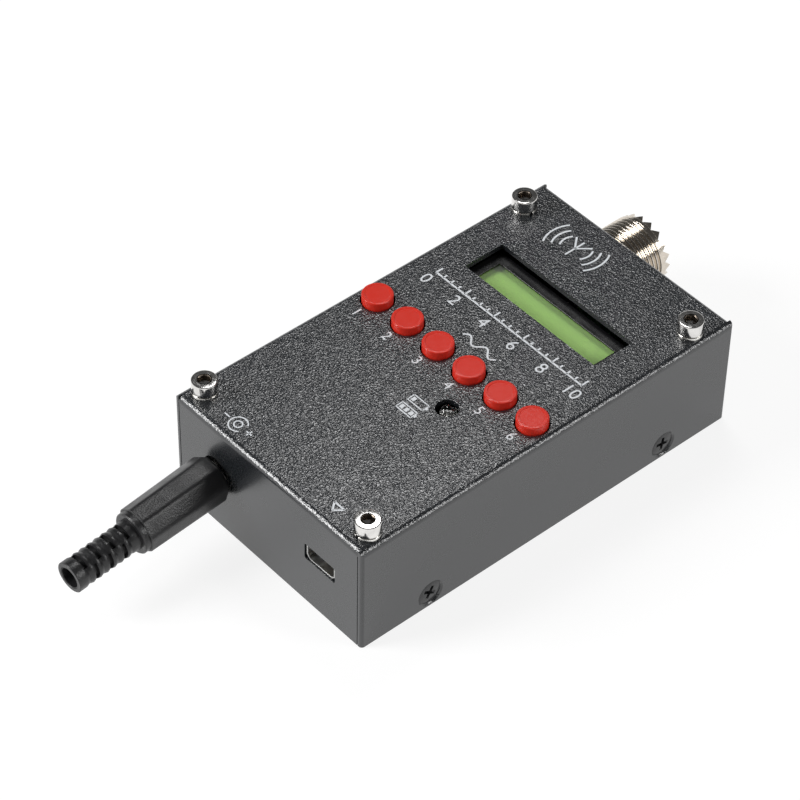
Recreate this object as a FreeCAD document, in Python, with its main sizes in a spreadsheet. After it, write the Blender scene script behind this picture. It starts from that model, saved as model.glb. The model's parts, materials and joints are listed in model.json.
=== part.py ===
import FreeCAD, Part
import math
import os
import re

import Sketcher

# A pocket antenna analyzer: a folded sheet case with a display, six keys, a lamp, a charging
# socket, a power jack with its plug and a threaded coaxial socket.
# Frame: origin in the middle of the underside, +X to the right when the panel is read,
# +Y towards the coaxial socket, +Z up. All sizes are in millimetres and degrees.

SIZES = [
    # case
    ("case_width", 57.6, "outside width of the folded shell"),
    ("case_length", 100.0, "outside length of the folded shell"),
    ("case_height", 27.0, "outside height, underside to panel"),
    ("sheet_wall", 1.2, "thickness of the folded sheet"),
    ("bend_radius", 1.5, "outside radius of the panel's bends"),
    ("corner_radius", 0.8, "rounding of the shell's upright corners"),
    ("seam_gap", 0.2, "open seam between an end wall and a side wall"),
    ("cover_gap", 0.15, "clearance between the bottom cover and the shell"),
    ("cover_bend", 1.0, "outside radius of the cover's bends"),
    ("flange_height", 8.0, "height of the cover's upturned flanges"),
    ("flange_length", 88.0, "length of the cover's upturned flanges"),
    # fasteners
    ("thread_diameter", 3.0, "outside diameter of every machine screw"),
    ("thread_gap", 0.02, "radial clearance of a screw in its tapped hole"),
    ("seat_gap", 0.03, "clearance under a countersunk head"),
    ("side_screw_pitch", 64.0, "distance between the two screws of a long side"),
    ("side_screw_level", 3.4, "height of the side screws"),
    ("side_head", 5.7, "head diameter of the countersunk side screws"),
    ("side_sink", 6.4, "diameter of the countersink at the surface"),
    ("side_screw_length", 8.0, "length of the side screws with the head"),
    ("collar_diameter", 4.6, "outside of the drawn collars that take the side screws"),
    ("collar_length", 1.6, "depth of the drawn collars behind the flange"),
    ("cross_length", 3.2, "length of the cross recess"),
    ("cross_width", 0.8, "width of the cross recess"),
    ("cross_depth", 1.1, "depth of the cross recess"),
    ("panel_screw_side", 3.8, "panel screws inside the side walls' outer faces"),
    ("panel_screw_front", 4.7, "panel screws behind the front wall"),
    ("panel_screw_back", 9.0, "panel screws in front of the back wall"),
    ("panel_screw_hole", 3.4, "clearance hole of the panel screws"),
    ("panel_screw_length", 8.0, "length of the panel screws under the head"),
    ("cap_head", 5.5, "head diameter of the panel screws"),
    ("cap_head_height", 3.0, "head height of the panel screws"),
    ("cap_head_edge", 0.35, "rounded rim of the panel screw heads"),
    ("hex_socket", 2.5, "across flats of the hexagon socket"),
    ("hex_socket_depth", 1.6, "depth of the hexagon socket"),
    ("washer_diameter", 5.6, "outside diameter of the lock washers"),
    ("washer_bore", 3.2, "inside diameter of the lock washers"),
    ("washer_height", 0.8, "thickness of the lock washers"),
    ("washer_slit", 0.6, "open slit of the lock washers"),
    ("washer_step", 80.0, "turn from one lock washer to the next"),
    ("standoff_flats", 4.5, "across flats of the hexagon standoffs"),
    ("pan_head", 5.0, "head diameter of the board screws"),
    ("pan_head_height", 1.8, "head height of the board screws"),
    ("board_screw_length", 6.0, "length of the board screws under the head"),
    # main board
    ("board_level", 12.35, "top face of the main board"),
    ("board_thickness", 1.6, "thickness of the main board"),
    ("board_gap", 0.4, "main board to the side walls"),
    ("board_front_gap", 0.3, "main board to the front wall"),
    ("board_hole", 3.2, "clearance holes of the board screws"),
    ("solder_gap", 0.05, "height of a soldered joint"),
    # display
    ("window_width", 39.2, "width of the display window"),
    ("window_depth", 10.5, "depth of the display window"),
    ("window_back", 30.0, "back edge of the window and of the display frame"),
    ("window_corner", 0.4, "corner radius of the window"),
    ("display_drop", 1.2, "display frame under the panel"),
    ("display_frame_width", 40.2, "outside width of the display frame"),
    ("display_frame_depth", 16.2, "outside depth of the display frame"),
    ("display_frame_height", 5.0, "height of the display frame"),
    ("display_frame_wall", 0.5, "sheet thickness of the display frame"),
    ("display_frame_corner", 0.6, "corner radius of the display frame"),
    ("view_width", 35.0, "width of the visible field"),
    ("view_depth", 11.0, "depth of the visible field"),
    ("glass_thickness", 1.1, "thickness of the display glass"),
    ("glass_gap", 0.1, "glass to the frame's walls"),
    ("display_board_width", 44.0, "width of the display board"),
    ("display_board_depth", 19.6, "depth of the display board"),
    ("display_board_back", 1.6, "display board behind the frame"),
    ("display_board_thickness", 1.6, "thickness of the display board"),
    ("spacer_diameter", 3.2, "diameter of the display spacers"),
    ("spacer_inset", 2.0, "spacer axis from the display board's edges"),
    ("header_width", 2.5, "width of the header strip"),
    ("header_height", 2.5, "height of the header strip"),
    ("pin_pitch", 2.54, "pitch of the header pins"),
    ("pin_side", 0.64, "side of a header pin"),
    # keys
    ("key_pitch", 9.4, "distance from one key to the next"),
    ("key_row", -1.2, "row of the keys along the panel"),
    ("key_diameter", 6.7, "diameter of a key cap"),
    ("key_hole", 7.4, "hole of a key in the panel"),
    ("key_stand", 1.8, "key cap above the panel"),
    ("key_height", 5.6, "whole height of a key cap"),
    ("key_rim", 0.45, "rounded rim of a key cap"),
    ("key_travel", 0.3, "how far a key goes down"),
    ("stem_diameter", 3.5, "diameter of a switch stem"),
    ("stem_gap", 0.08, "radial clearance of a stem in the switch plate"),
    ("stem_grip", 2.8, "length of a stem inside its cap"),
    ("stem_flange", 4.3, "diameter of the flange at a stem's foot"),
    ("stem_flange_height", 0.5, "height of that flange"),
    ("stem_foot", 0.35, "stem above the snap dome"),
    ("switch_side", 6.0, "side of a switch base"),
    ("switch_height", 3.4, "height of a switch base with its plate"),
    ("switch_plate", 0.3, "thickness of a switch plate"),
    ("switch_well", 4.7, "diameter of the well in a switch base"),
    ("switch_well_depth", 1.7, "depth of the well in a switch base"),
    ("dome_diameter", 4.4, "diameter of a snap dome"),
    ("dome_rise", 0.45, "rise of a snap dome"),
    ("dome_sheet", 0.1, "thickness of a snap dome"),
    # lamp
    ("lamp_diameter", 3.0, "diameter of the lamp"),
    ("lamp_hole", 4.9, "hole of the lamp in the panel"),
    ("lamp_side", 9.5, "lamp to the right of the middle"),
    ("lamp_row", -11.3, "lamp along the panel"),
    ("lamp_stand", 0.5, "lamp above the panel"),
    ("lamp_height", 5.3, "height of the lamp"),
    ("lamp_flange", 3.8, "diameter of the lamp's flange"),
    ("lamp_flange_height", 1.0, "height of the lamp's flange"),
    ("lamp_tip", 0.05, "flat at the top of the lamp's dome"),
    ("lead_side", 0.5, "side of a lamp lead"),
    ("lead_pitch", 2.0, "distance between the lamp leads"),
    # data socket
    ("port_inset", 12.65, "middle of the data socket inside the right side's face"),
    ("port_width", 8.6, "outside width of the data socket"),
    ("port_height", 3.8, "outside height of the data socket"),
    ("port_depth", 9.2, "depth of the data socket"),
    ("port_wall", 0.35, "sheet thickness of the data socket"),
    ("port_slope", 1.0, "slanted lower corners of the data socket"),
    ("port_set_back", 0.3, "data socket behind the wall's face"),
    ("port_cut_side", 0.3, "wall cut-out beside the data socket"),
    ("port_cut_height", 0.13, "wall cut-out over and under the data socket"),
    ("port_cut_corner", 0.5, "corner radius of that cut-out"),
    ("tongue_width", 5.6, "width of the tongue"),
    ("tongue_thickness", 0.8, "thickness of the tongue"),
    ("tongue_drop", 0.45, "tongue under the socket's inner top"),
    ("tongue_set_back", 1.2, "tongue behind the socket's mouth"),
    ("tongue_root", 2.0, "depth of the block that holds the tongue"),
    ("contact_pitch", 0.8, "pitch of the data contacts"),
    ("contact_width", 0.4, "width of a data contact"),
    ("contact_thickness", 0.2, "thickness of a data contact"),
    ("contact_length", 5.5, "length of a data contact"),
    # power jack
    ("jack_inset", 12.65, "axis of the power jack inside the left side's face"),
    ("jack_level", 14.35, "height of the power jack's axis"),
    ("jack_width", 9.0, "width and height of the jack's housing"),
    ("jack_depth", 14.0, "depth of the jack's housing"),
    ("jack_wall_gap", 0.1, "jack behind the front wall"),
    ("jack_bore", 6.4, "bore of the jack"),
    ("jack_bore_depth", 10.6, "depth of the jack's bore"),
    ("jack_wall_hole", 7.6, "hole of the jack in the front wall"),
    ("jack_pin", 1.8, "diameter of the jack's centre pin"),
    ("jack_pin_set_back", 1.5, "centre pin behind the jack's mouth"),
    ("jack_pin_tail", 1.4, "centre pin behind the housing"),
    ("jack_notch_gap", 0.25, "jack in the notch of the main board"),
    ("jack_wing", 1.6, "width of the jack's side wings"),
    ("jack_wing_height", 1.5, "thickness of the jack's side wings"),
    ("leaf_width", 2.0, "width of the jack's contact leaf"),
    ("leaf_thickness", 0.3, "thickness of the jack's contact leaf"),
    ("leaf_length", 9.0, "length of the jack's contact leaf"),
    ("leaf_slot_gap", 0.05, "leaf in its slot"),
    # power plug
    ("plug_yaw", 3.0, "plug turned to the right in its loose jack"),
    ("plug_droop", 3.0, "plug sagging in its loose jack"),
    ("plug_entry", 9.4, "how far the plug's barrel is in past the wall"),
    ("barrel_diameter", 5.5, "outside diameter of the plug's barrel"),
    ("barrel_bore", 4.7, "inside diameter of the plug's barrel"),
    ("pin_bore", 2.6, "inside diameter of the plug's inner contact"),
    ("pin_bore_depth", 8.4, "depth of the plug's inner contact"),
    ("inner_contact", 3.3, "outside diameter of the plug's inner contact"),
    ("push_gap", 0.02, "radial clearance of pieces pushed together"),
    ("plug_stand", 0.6, "plug's collar in front of the wall"),
    ("plug_body_diameter", 8.0, "diameter of the plug's threaded body"),
    ("plug_body_length", 7.0, "length of the plug's threaded body"),
    ("lug_width", 3.6, "width of the solder lug"),
    ("lug_thickness", 0.8, "thickness of the solder lug"),
    ("lug_length", 7.0, "length of the solder lug"),
    ("lug_offset", 2.6, "solder lug beside the plug's axis"),
    ("plug_lip", 0.2, "plug's collar in front of its cover"),
    ("grip_near", 10.3, "across flats of the cover near the wall"),
    ("grip_far", 9.75, "across flats of the cover at its far end"),
    ("grip_mouth", 9.0, "across flats of the cover's chamfered mouth"),
    ("grip_chamfer", 1.2, "length of the cover's chamfered mouth"),
    ("grip_length", 20.4, "length of the faceted cover"),
    ("grip_turn", 15.3, "turn of the facets about the plug's axis"),
    ("cover_bore_gap", 0.08, "radial clearance of the cover on the plug's body"),
    ("neck_diameter", 9.3, "diameter of the round neck behind the facets"),
    ("neck_length", 1.5, "length of the round neck"),
    ("tail_diameter", 6.9, "diameter of the strain relief"),
    ("cord_bore", 4.6, "bore of the neck that takes the cord"),
    ("tail_bore", 5.5, "bore of the strain relief"),
    ("tail_length", 15.8, "length of the strain relief"),
    ("slot_end", 2.3, "closed ring at the end of the strain relief"),
    ("slot_pitch", 3.6, "distance between strain relief slots"),
    ("slot_width", 1.2, "width of a strain relief slot"),
    ("slot_reach", 4.6, "chord length of a strain relief slot"),
    # coaxial socket
    ("coax_side", 8.8, "coaxial socket to the left of the middle"),
    ("coax_level", 15.4, "height of the coaxial socket's axis"),
    ("coax_diameter", 15.875, "thread diameter of the coaxial socket"),
    ("coax_reach", 12.0, "coaxial socket in front of the back wall"),
    ("coax_pitch", 1.058, "thread pitch of the coaxial socket"),
    ("coax_thread_depth", 0.55, "thread depth of the coaxial socket"),
    ("coax_thread_land", 0.16, "flat at a thread's crest"),
    ("coax_thread_start", 0.5, "thread's first groove in front of the wall"),
    ("coax_relief", 15.0, "undercut diameter of the barrel inside the wall"),
    ("coax_relief_length", 0.4, "undercut in front of the wall"),
    ("coax_bore", 13.0, "bore of the coaxial socket"),
    ("coax_seat", 12.6, "bore that holds the insulator"),
    ("coax_mouth", 13.6, "bore inside the teeth"),
    ("coax_lip", 15.4, "diameter of the toothed rim"),
    ("coax_hole_gap", 0.15, "coaxial socket in its wall hole"),
    ("coax_flange", 18.4, "shoulder diameter inside the wall"),
    ("coax_flange_height", 2.4, "thickness of the shoulder"),
    ("coax_neck", 12.0, "neck diameter behind the shoulder"),
    ("coax_neck_length", 2.0, "length of the neck behind the shoulder"),
    ("tooth_depth", 1.5, "height of the teeth on the rim"),
    ("coax_recess", 2.6, "insulator behind the root of the teeth"),
    ("insulator_spigot", 7.0, "diameter of the insulator in the neck"),
    ("coax_contact", 5.4, "outside diameter of the centre contact"),
    ("coax_contact_bore", 4.0, "bore of the centre contact"),
    ("coax_contact_depth", 9.0, "depth of the centre contact's bore"),
    ("coax_contact_slit", 0.5, "slits of the centre contact"),
    ("coax_tail", 1.6, "diameter of the centre contact's tail"),
    ("coax_tail_length", 3.4, "length of the centre contact's tail"),
    ("leg_width", 2.2, "width of the socket's solder legs"),
    ("leg_thickness", 1.2, "thickness of the socket's solder legs"),
    ("leg_length", 4.0, "length of the socket's solder legs"),
    ("leg_wall", 0.4, "socket's solder legs beside the insulator"),
    # battery
    ("battery_width", 34.0, "width of the battery"),
    ("battery_length", 50.0, "length of the battery"),
    ("battery_height", 6.0, "thickness of the battery"),
    ("battery_edge", 2.0, "rounded long edges of the battery"),
    ("battery_middle", 4.0, "middle of the battery along the case"),
    ("pad_height", 1.0, "thickness of the foam pad"),
    ("pad_inset", 2.0, "foam pad inside the battery's outline"),
    ("lead_diameter", 1.1, "diameter of a battery lead"),
    ("lead_run", 5.0, "length of a battery lead"),
    ("lead_level", 2.5, "battery leads above the battery's underside"),
    ("link_side", 8.0, "battery connector to the right of the middle"),
    ("link_width", 6.0, "width of the battery connector"),
    ("link_depth", 4.5, "depth of the battery connector"),
    ("link_height", 7.0, "height of the battery connector"),
    # parts on the main board
    ("controller_side", 10.0, "side of the controller chip"),
    ("controller_height", 1.4, "height of the controller chip"),
    ("controller_row", -24.0, "controller chip along the board"),
    ("synth_width", 5.3, "width of the synthesizer chip"),
    ("synth_length", 10.2, "length of the synthesizer chip"),
    ("synth_height", 1.8, "height of the synthesizer chip"),
    ("synth_side", 14.0, "synthesizer chip to the right of the middle"),
    ("synth_row", -26.0, "synthesizer chip along the board"),
    ("chip_edge", 0.2, "chamfer of a chip"),
    ("crystal_length", 11.0, "length of the crystal"),
    ("crystal_width", 4.6, "width of the crystal"),
    ("crystal_height", 3.5, "height of the crystal"),
    ("crystal_row", -38.0, "crystal along the board"),
    ("core_diameter", 9.4, "outside of the bridge transformer's core"),
    ("core_bore", 5.0, "inside of the bridge transformer's core"),
    ("core_height", 4.4, "height of the bridge transformer's core"),
    ("core_edge", 0.6, "rounded edges of the core"),
    ("core_row", 35.9, "bridge transformer along the board"),
]

KEY_COUNT = 6
PIN_COUNT = 16
CONTACT_COUNT = 5
CONTACT_SLITS = 2
TOOTH_COUNT = 18
GRIP_SIDES = 8
SLOT_ROWS = 4

doc = FreeCAD.newDocument("antenna_analyzer")
sheet = doc.addObject("Spreadsheet::Sheet", "Sizes")
for row, (alias, number, note) in enumerate(SIZES, start=1):
    sheet.set(f"A{row}", alias)
    sheet.set(f"B{row}", str(number))
    sheet.set(f"C{row}", note)
    sheet.setAlias(f"B{row}", alias)
doc.recompute()

ALIAS = re.compile(r"\b(" + "|".join(alias for alias, number, note in SIZES) + r")\b")
nodes = []

# Levels and places that several pieces share, written with the sheet's names
HALF_WIDTH = "(case_width / 2)"
HALF_LENGTH = "(case_length / 2)"
INNER_SIDE = "(case_width / 2 - sheet_wall)"
INNER_END = "(case_length / 2 - sheet_wall)"
PANEL_UNDER = "(case_height - sheet_wall)"
BOARD_UNDER = "(board_level - board_thickness)"
BOARD_SIDE = f"({INNER_SIDE} - board_gap)"
BOARD_FRONT = f"(-{INNER_END} + board_front_gap)"
BOARD_BACK = f"({INNER_END} - coax_flange_height - coax_neck_length)"
SCREW_SIDE = f"({HALF_WIDTH} - panel_screw_side)"
SCREW_FRONT = f"(-{HALF_LENGTH} + panel_screw_front)"
SCREW_BACK = f"({HALF_LENGTH} - panel_screw_back)"
SCREW_PLACES = [
    (f"-{SCREW_SIDE}", SCREW_FRONT),
    (SCREW_SIDE, SCREW_FRONT),
    (f"-{SCREW_SIDE}", SCREW_BACK),
    (SCREW_SIDE, SCREW_BACK),
]

JACK_SIDE = f"({HALF_WIDTH} - jack_inset)"
PORT_SIDE = f"({HALF_WIDTH} - port_inset)"

# Signs of X and Y at the four corners
CORNERS = [("", ""), ("", "-"), ("-", ""), ("-", "-")]

UPRIGHT = "rotation(vector(0; 0; 1); 0)"
TURNS = {
    "+Z": UPRIGHT,
    "-Z": "rotation(vector(1; 0; 0); 180)",
    "+X": "rotation(vector(0; 1; 0); 90)",
    "-X": "rotation(vector(0; 1; 0); -90)",
    "+Y": "rotation(vector(1; 0; 0); -90)",
    "-Y": "rotation(vector(1; 0; 0); 90)",
}


def tied(text):
    """An expression in which each size is read from the sheet."""
    return ALIAS.sub(r"Sizes.\1", str(text))


def measure(text):
    """The present value of an expression."""
    return float(sheet.evalExpression(tied(text)))


def span(sign, near, far):
    """Limits from near to far on the positive side, or their mirror on the negative side."""
    return (f"-({far})", f"-({near})") if sign else (near, far)


def bind(item, **properties):
    for name, text in properties.items():
        item.setExpression(name, tied(text))
    return item


def place(item, x="0", y="0", z="0", turn=UPRIGHT):
    item.setExpression("Placement", tied(f"placement(vector({x}; {y}; {z}); {turn})"))
    return item


def keep(item, label):
    """Take a finished sub-part into the list of those written out."""
    item.Label = label
    nodes.append(item)
    return item


# Primitives


def block(name, x, y, z):
    """A box between the named limits of x, y and z."""
    item = doc.addObject("Part::Box", name)
    bind(
        item,
        Length=f"({x[1]}) - ({x[0]})",
        Width=f"({y[1]}) - ({y[0]})",
        Height=f"({z[1]}) - ({z[0]})",
    )
    return place(item, x[0], y[0], z[0])


def rod(name, diameter, length, start, along="+Z"):
    """A round rod from its start along one of the axes."""
    item = doc.addObject("Part::Cylinder", name)
    bind(item, Radius=f"({diameter}) / 2", Height=length)
    return place(item, *start, turn=TURNS[along])


def cone(name, first, second, length, start, along="+Z"):
    """A cone between two diameters."""
    item = doc.addObject("Part::Cone", name)
    bind(item, Radius1=f"({first}) / 2", Radius2=f"({second}) / 2", Height=length)
    return place(item, *start, turn=TURNS[along])


def fuse(name, items):
    item = doc.addObject("Part::MultiFuse", name)
    item.Shapes = items
    item.Refine = True
    return item


def cut(name, base, tools):
    item = doc.addObject("Part::Cut", name)
    item.Base = base
    item.Tool = tools[0] if len(tools) == 1 else fuse(f"{name}_tools", tools)
    return item


def copies(name, master, places):
    """Copies of one piece at several places, each of them (x, y, z, turn)."""
    links = []
    for number, (x, y, z, turn) in enumerate(places, start=1):
        link = doc.addObject("App::Link", f"{name}_copy_{number}")
        link.LinkedObject = master
        links.append(place(link, x, y, z, turn))
    group = doc.addObject("Part::Compound", name)
    group.Links = links
    return group


# Bodies and their sketches


def new_body(name):
    return doc.addObject("PartDesign::Body", name)


def sketch_on(body, role, offset="0"):
    """A sketch on one of the body's own planes, moved along the plane's normal."""
    sketch = body.newObject("Sketcher::SketchObject", f"{body.Name}_sketch")
    plane = next(item for item in body.Origin.OriginFeatures if item.Role == role)
    sketch.AttachmentSupport = (plane, [""])
    sketch.MapMode = "FlatFace"
    sketch.setExpression("AttachmentOffset.Base.z", tied(offset))
    return sketch


def fix_point(sketch, line, end, x, y):
    across = sketch.addConstraint(Sketcher.Constraint("DistanceX", line, end, measure(x)))
    sketch.setExpression(f"Constraints[{across}]", tied(x))
    along = sketch.addConstraint(Sketcher.Constraint("DistanceY", line, end, measure(y)))
    sketch.setExpression(f"Constraints[{along}]", tied(y))


def outline(sketch, points):
    """A closed loop of straight lines through points given as expressions."""
    spots = [FreeCAD.Vector(measure(x), measure(y), 0) for x, y in points]
    lines = []
    for number, spot in enumerate(spots):
        after = spots[(number + 1) % len(spots)]
        lines.append(sketch.addGeometry(Part.LineSegment(spot, after), False))
    for number, line in enumerate(lines):
        after = lines[(number + 1) % len(lines)]
        sketch.addConstraint(Sketcher.Constraint("Coincident", line, 2, after, 1))
        fix_point(sketch, line, 1, *points[number])
    return sketch


def rectangle(sketch, x, y):
    return outline(sketch, [(x[0], y[0]), (x[1], y[0]), (x[1], y[1]), (x[0], y[1])])


def ring(sketch, x, y, diameter):
    centre = FreeCAD.Vector(measure(x), measure(y), 0)
    circle = Part.Circle(centre, FreeCAD.Vector(0, 0, 1), measure(diameter) / 2)
    line = sketch.addGeometry(circle, False)
    fix_point(sketch, line, 3, x, y)
    width = sketch.addConstraint(Sketcher.Constraint("Diameter", line, measure(diameter)))
    sketch.setExpression(f"Constraints[{width}]", tied(diameter))
    return sketch


def hexagon(sketch, flats):
    """A hexagon with two flats square to Y."""
    tip = f"{flats} / sqrt(3)"
    half = f"{flats} / (2 * sqrt(3))"
    flat = f"{flats} / 2"
    corners = [(tip, "0"), (half, flat), (f"-{half}", flat)]
    corners += [(f"-{tip}", "0"), (f"-{half}", f"-{flat}"), (half, f"-{flat}")]
    return outline(sketch, corners)


def cross(sketch, length, width):
    """The twelve corners of a cross recess."""
    far = f"{length} / 2"
    near = f"{width} / 2"
    corner = [(far, near), (near, near), (near, far)]
    points = corner + [(f"-{y}", x) for x, y in corner]
    points += [(f"-{x}", f"-{y}") for x, y in corner]
    points += [(y, f"-{x}") for x, y in corner]
    return outline(sketch, points)


def pad(body, sketch, length):
    feature = body.newObject("PartDesign::Pad", f"{body.Name}_pad")
    feature.Profile = sketch
    bind(feature, Length=length)
    sketch.Visibility = False
    return feature


def pocket(body, sketch, length, forward=False):
    """A pocket against the sketch's normal, or along it when forward."""
    feature = body.newObject("PartDesign::Pocket", f"{body.Name}_pocket")
    feature.Profile = sketch
    feature.Reversed = forward
    bind(feature, Length=length)
    return feature


def revolve(body, sketch, kind="Revolution"):
    feature = body.newObject(f"PartDesign::{kind}", f"{body.Name}_turned")
    feature.Profile = sketch
    feature.ReferenceAxis = (sketch, ["V_Axis"])
    feature.Angle = 360.0
    return feature


def turned(name, points):
    """A round body about its own Z axis, from a profile of (radius, height) points."""
    body = new_body(name)
    revolve(body, outline(sketch_on(body, "XZ_Plane"), points))
    return body


def pattern(body, feature, kind, axis, count, **properties):
    """Repeat a feature along or about an axis of its own sketch."""
    item = body.newObject(f"PartDesign::{kind}", f"{body.Name}_pattern")
    item.Originals = [feature]
    if kind == "LinearPattern":
        item.Direction = axis
    else:
        item.Axis = axis
    item.Occurrences = count
    bind(item, **properties)
    body.Tip = item
    return item


def dress(body, kind, chosen, **properties):
    """Round or chamfer those edges of the body's tip that the chooser picks."""
    doc.recompute()
    base = body.Tip
    edges = [f"Edge{n}" for n, edge in enumerate(base.Shape.Edges, start=1) if chosen(edge)]
    item = body.newObject(f"PartDesign::{kind}", f"{body.Name}_edges")
    item.Base = (base, edges)
    bind(item, **properties)
    return item


def level(edge, height):
    """Whether an edge lies flat at a height."""
    wanted = measure(height)
    box = edge.BoundBox
    return abs(box.ZMin - wanted) < 1e-4 and abs(box.ZMax - wanted) < 1e-4


def upright(edge):
    box = edge.BoundBox
    return box.ZLength > 1e-3 and box.XLength < 1e-4 and box.YLength < 1e-4


def plate_body(name, x, y, z):
    """A body that starts as a plate between named limits."""
    body = new_body(name)
    pad(body, rectangle(sketch_on(body, "XY_Plane", z[0]), x, y), f"({z[1]}) - ({z[0]})")
    return body


# Case


def side_screw_places():
    """The four side screws: sign of the side, place along it and direction."""
    for sign, along in (("", "+X"), ("-", "-X")):
        for end in ("-", ""):
            yield f"{sign}{HALF_WIDTH}", f"{end}side_screw_pitch / 2", along, sign


def countersinks(name):
    """Cones that open at the side walls' faces and narrow to the screws' thread."""
    small = "thread_diameter + 2 * thread_gap"
    for number, (x, y, along, sign) in enumerate(side_screw_places(), start=1):
        inward = "-X" if along == "+X" else "+X"
        start = (x, y, "side_screw_level")
        depth = f"(side_sink - ({small})) / 2"
        yield cone(f"{name}_{number}", "side_sink", small, depth, start, inward)


def upright_roundings():
    """What has to be cut away to round the upright corners: a square bar less a rod each."""
    near_x = f"{HALF_WIDTH} - corner_radius"
    near_y = f"{HALF_LENGTH} - corner_radius"
    for number, (side, end) in enumerate(CORNERS, start=1):
        bar = block(
            f"corner_bar_{number}",
            span(side, near_x, f"{HALF_WIDTH} + corner_radius"),
            span(end, near_y, f"{HALF_LENGTH} + corner_radius"),
            ("-sheet_wall", "case_height + sheet_wall"),
        )
        start = (f"{side}({near_x})", f"{end}({near_y})", "-2 * sheet_wall")
        height = "case_height + 4 * sheet_wall"
        core = rod(f"corner_rod_{number}", "2 * corner_radius", height, start)
        yield cut(f"corner_rounding_{number}", bar, [core])


def end_bends():
    """What has to be cut away to bend the panel down at its ends, between the side walls."""
    near_y = f"{HALF_LENGTH} - bend_radius"
    near_z = "case_height - bend_radius"
    for name, end in (("back", ""), ("front", "-")):
        bar = block(
            f"{name}_bend_bar",
            (f"-{INNER_SIDE}", INNER_SIDE),
            span(end, near_y, f"{HALF_LENGTH} + bend_radius"),
            (near_z, "case_height + bend_radius"),
        )
        start = (f"-{HALF_WIDTH}", f"{end}({near_y})", near_z)
        core = rod(f"{name}_bend_rod", "2 * bend_radius", "case_width", start, "+X")
        yield cut(f"{name}_bend", bar, [core])


def shell_seams():
    """Open seams through the end walls, next to the side walls, up to the panel's bends."""
    for number, (side, end) in enumerate(CORNERS, start=1):
        yield block(
            f"seam_{number}",
            span(side, f"{INNER_SIDE} - seam_gap", INNER_SIDE),
            span(end, f"{INNER_END} - sheet_wall", f"{HALF_LENGTH} + sheet_wall"),
            ("-sheet_wall", "case_height - bend_radius"),
        )


def make_top_shell():
    body = plate_body(
        "shell_blank",
        (f"-{HALF_WIDTH}", HALF_WIDTH),
        (f"-{HALF_LENGTH}", HALF_LENGTH),
        ("0", "case_height"),
    )

    def long_top_edge(edge):
        return level(edge, "case_height") and edge.BoundBox.XLength < measure("sheet_wall")

    dress(body, "Fillet", long_top_edge, Radius="bend_radius")
    inside = rectangle(
        sketch_on(body, "XY_Plane"), (f"-{INNER_SIDE}", INNER_SIDE), (f"-{INNER_END}", INNER_END)
    )
    pocket(body, inside, PANEL_UNDER, forward=True)
    dress(
        body,
        "Fillet",
        lambda edge: level(edge, PANEL_UNDER),
        Radius="bend_radius - sheet_wall",
    )

    holes = sketch_on(body, "XY_Plane", "case_height")
    for x, y in SCREW_PLACES:
        ring(holes, x, y, "panel_screw_hole")
    ring(holes, "lamp_side", "lamp_row", "lamp_hole")
    pocket(body, holes, "2 * sheet_wall")

    window = sketch_on(body, "XY_Plane", "case_height")
    rectangle(
        window,
        ("-window_width / 2", "window_width / 2"),
        ("window_back - window_depth", "window_back"),
    )
    pocket(body, window, "2 * sheet_wall")

    def window_corner(edge):
        box = edge.BoundBox
        return upright(edge) and abs(abs(box.XMin) - measure("window_width / 2")) < 1e-3

    dress(body, "Fillet", window_corner, Radius="window_corner")

    key = sketch_on(body, "XY_Plane", "case_height")
    ring(key, f"-key_pitch * {KEY_COUNT - 1} / 2", "key_row", "key_hole")
    first = pocket(body, key, "2 * sheet_wall")
    run = f"key_pitch * {KEY_COUNT - 1}"
    pattern(body, first, "LinearPattern", (key, ["H_Axis"]), KEY_COUNT, Length=run)

    front = sketch_on(body, "XZ_Plane", HALF_LENGTH)
    ring(front, f"-{JACK_SIDE}", "jack_level", "jack_wall_hole")
    pocket(body, front, "2 * sheet_wall")

    port = sketch_on(body, "XZ_Plane", HALF_LENGTH)
    port_half = "(port_width / 2 + port_cut_side)"
    rectangle(
        port,
        (f"{PORT_SIDE} - {port_half}", f"{PORT_SIDE} + {port_half}"),
        ("board_level - port_cut_height", "board_level + port_height + port_cut_height"),
    )
    pocket(body, port, "2 * sheet_wall")

    def port_corner(edge):
        box = edge.BoundBox
        across = box.YLength > 1e-3 and box.XLength < 1e-4 and box.ZLength < 1e-4
        return across and abs(abs(box.XMin - measure(PORT_SIDE)) - measure(port_half)) < 1e-3

    dress(body, "Fillet", port_corner, Radius="port_cut_corner")

    back = sketch_on(body, "XZ_Plane", f"-{HALF_LENGTH}")
    ring(back, "-coax_side", "coax_level", "coax_diameter + 2 * coax_hole_gap")
    pocket(body, back, "2 * sheet_wall", forward=True)

    tools = [*countersinks("shell_sink"), *shell_seams(), *upright_roundings(), *end_bends()]
    keep(cut("shell_cut", body, tools), "top_shell")


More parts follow.
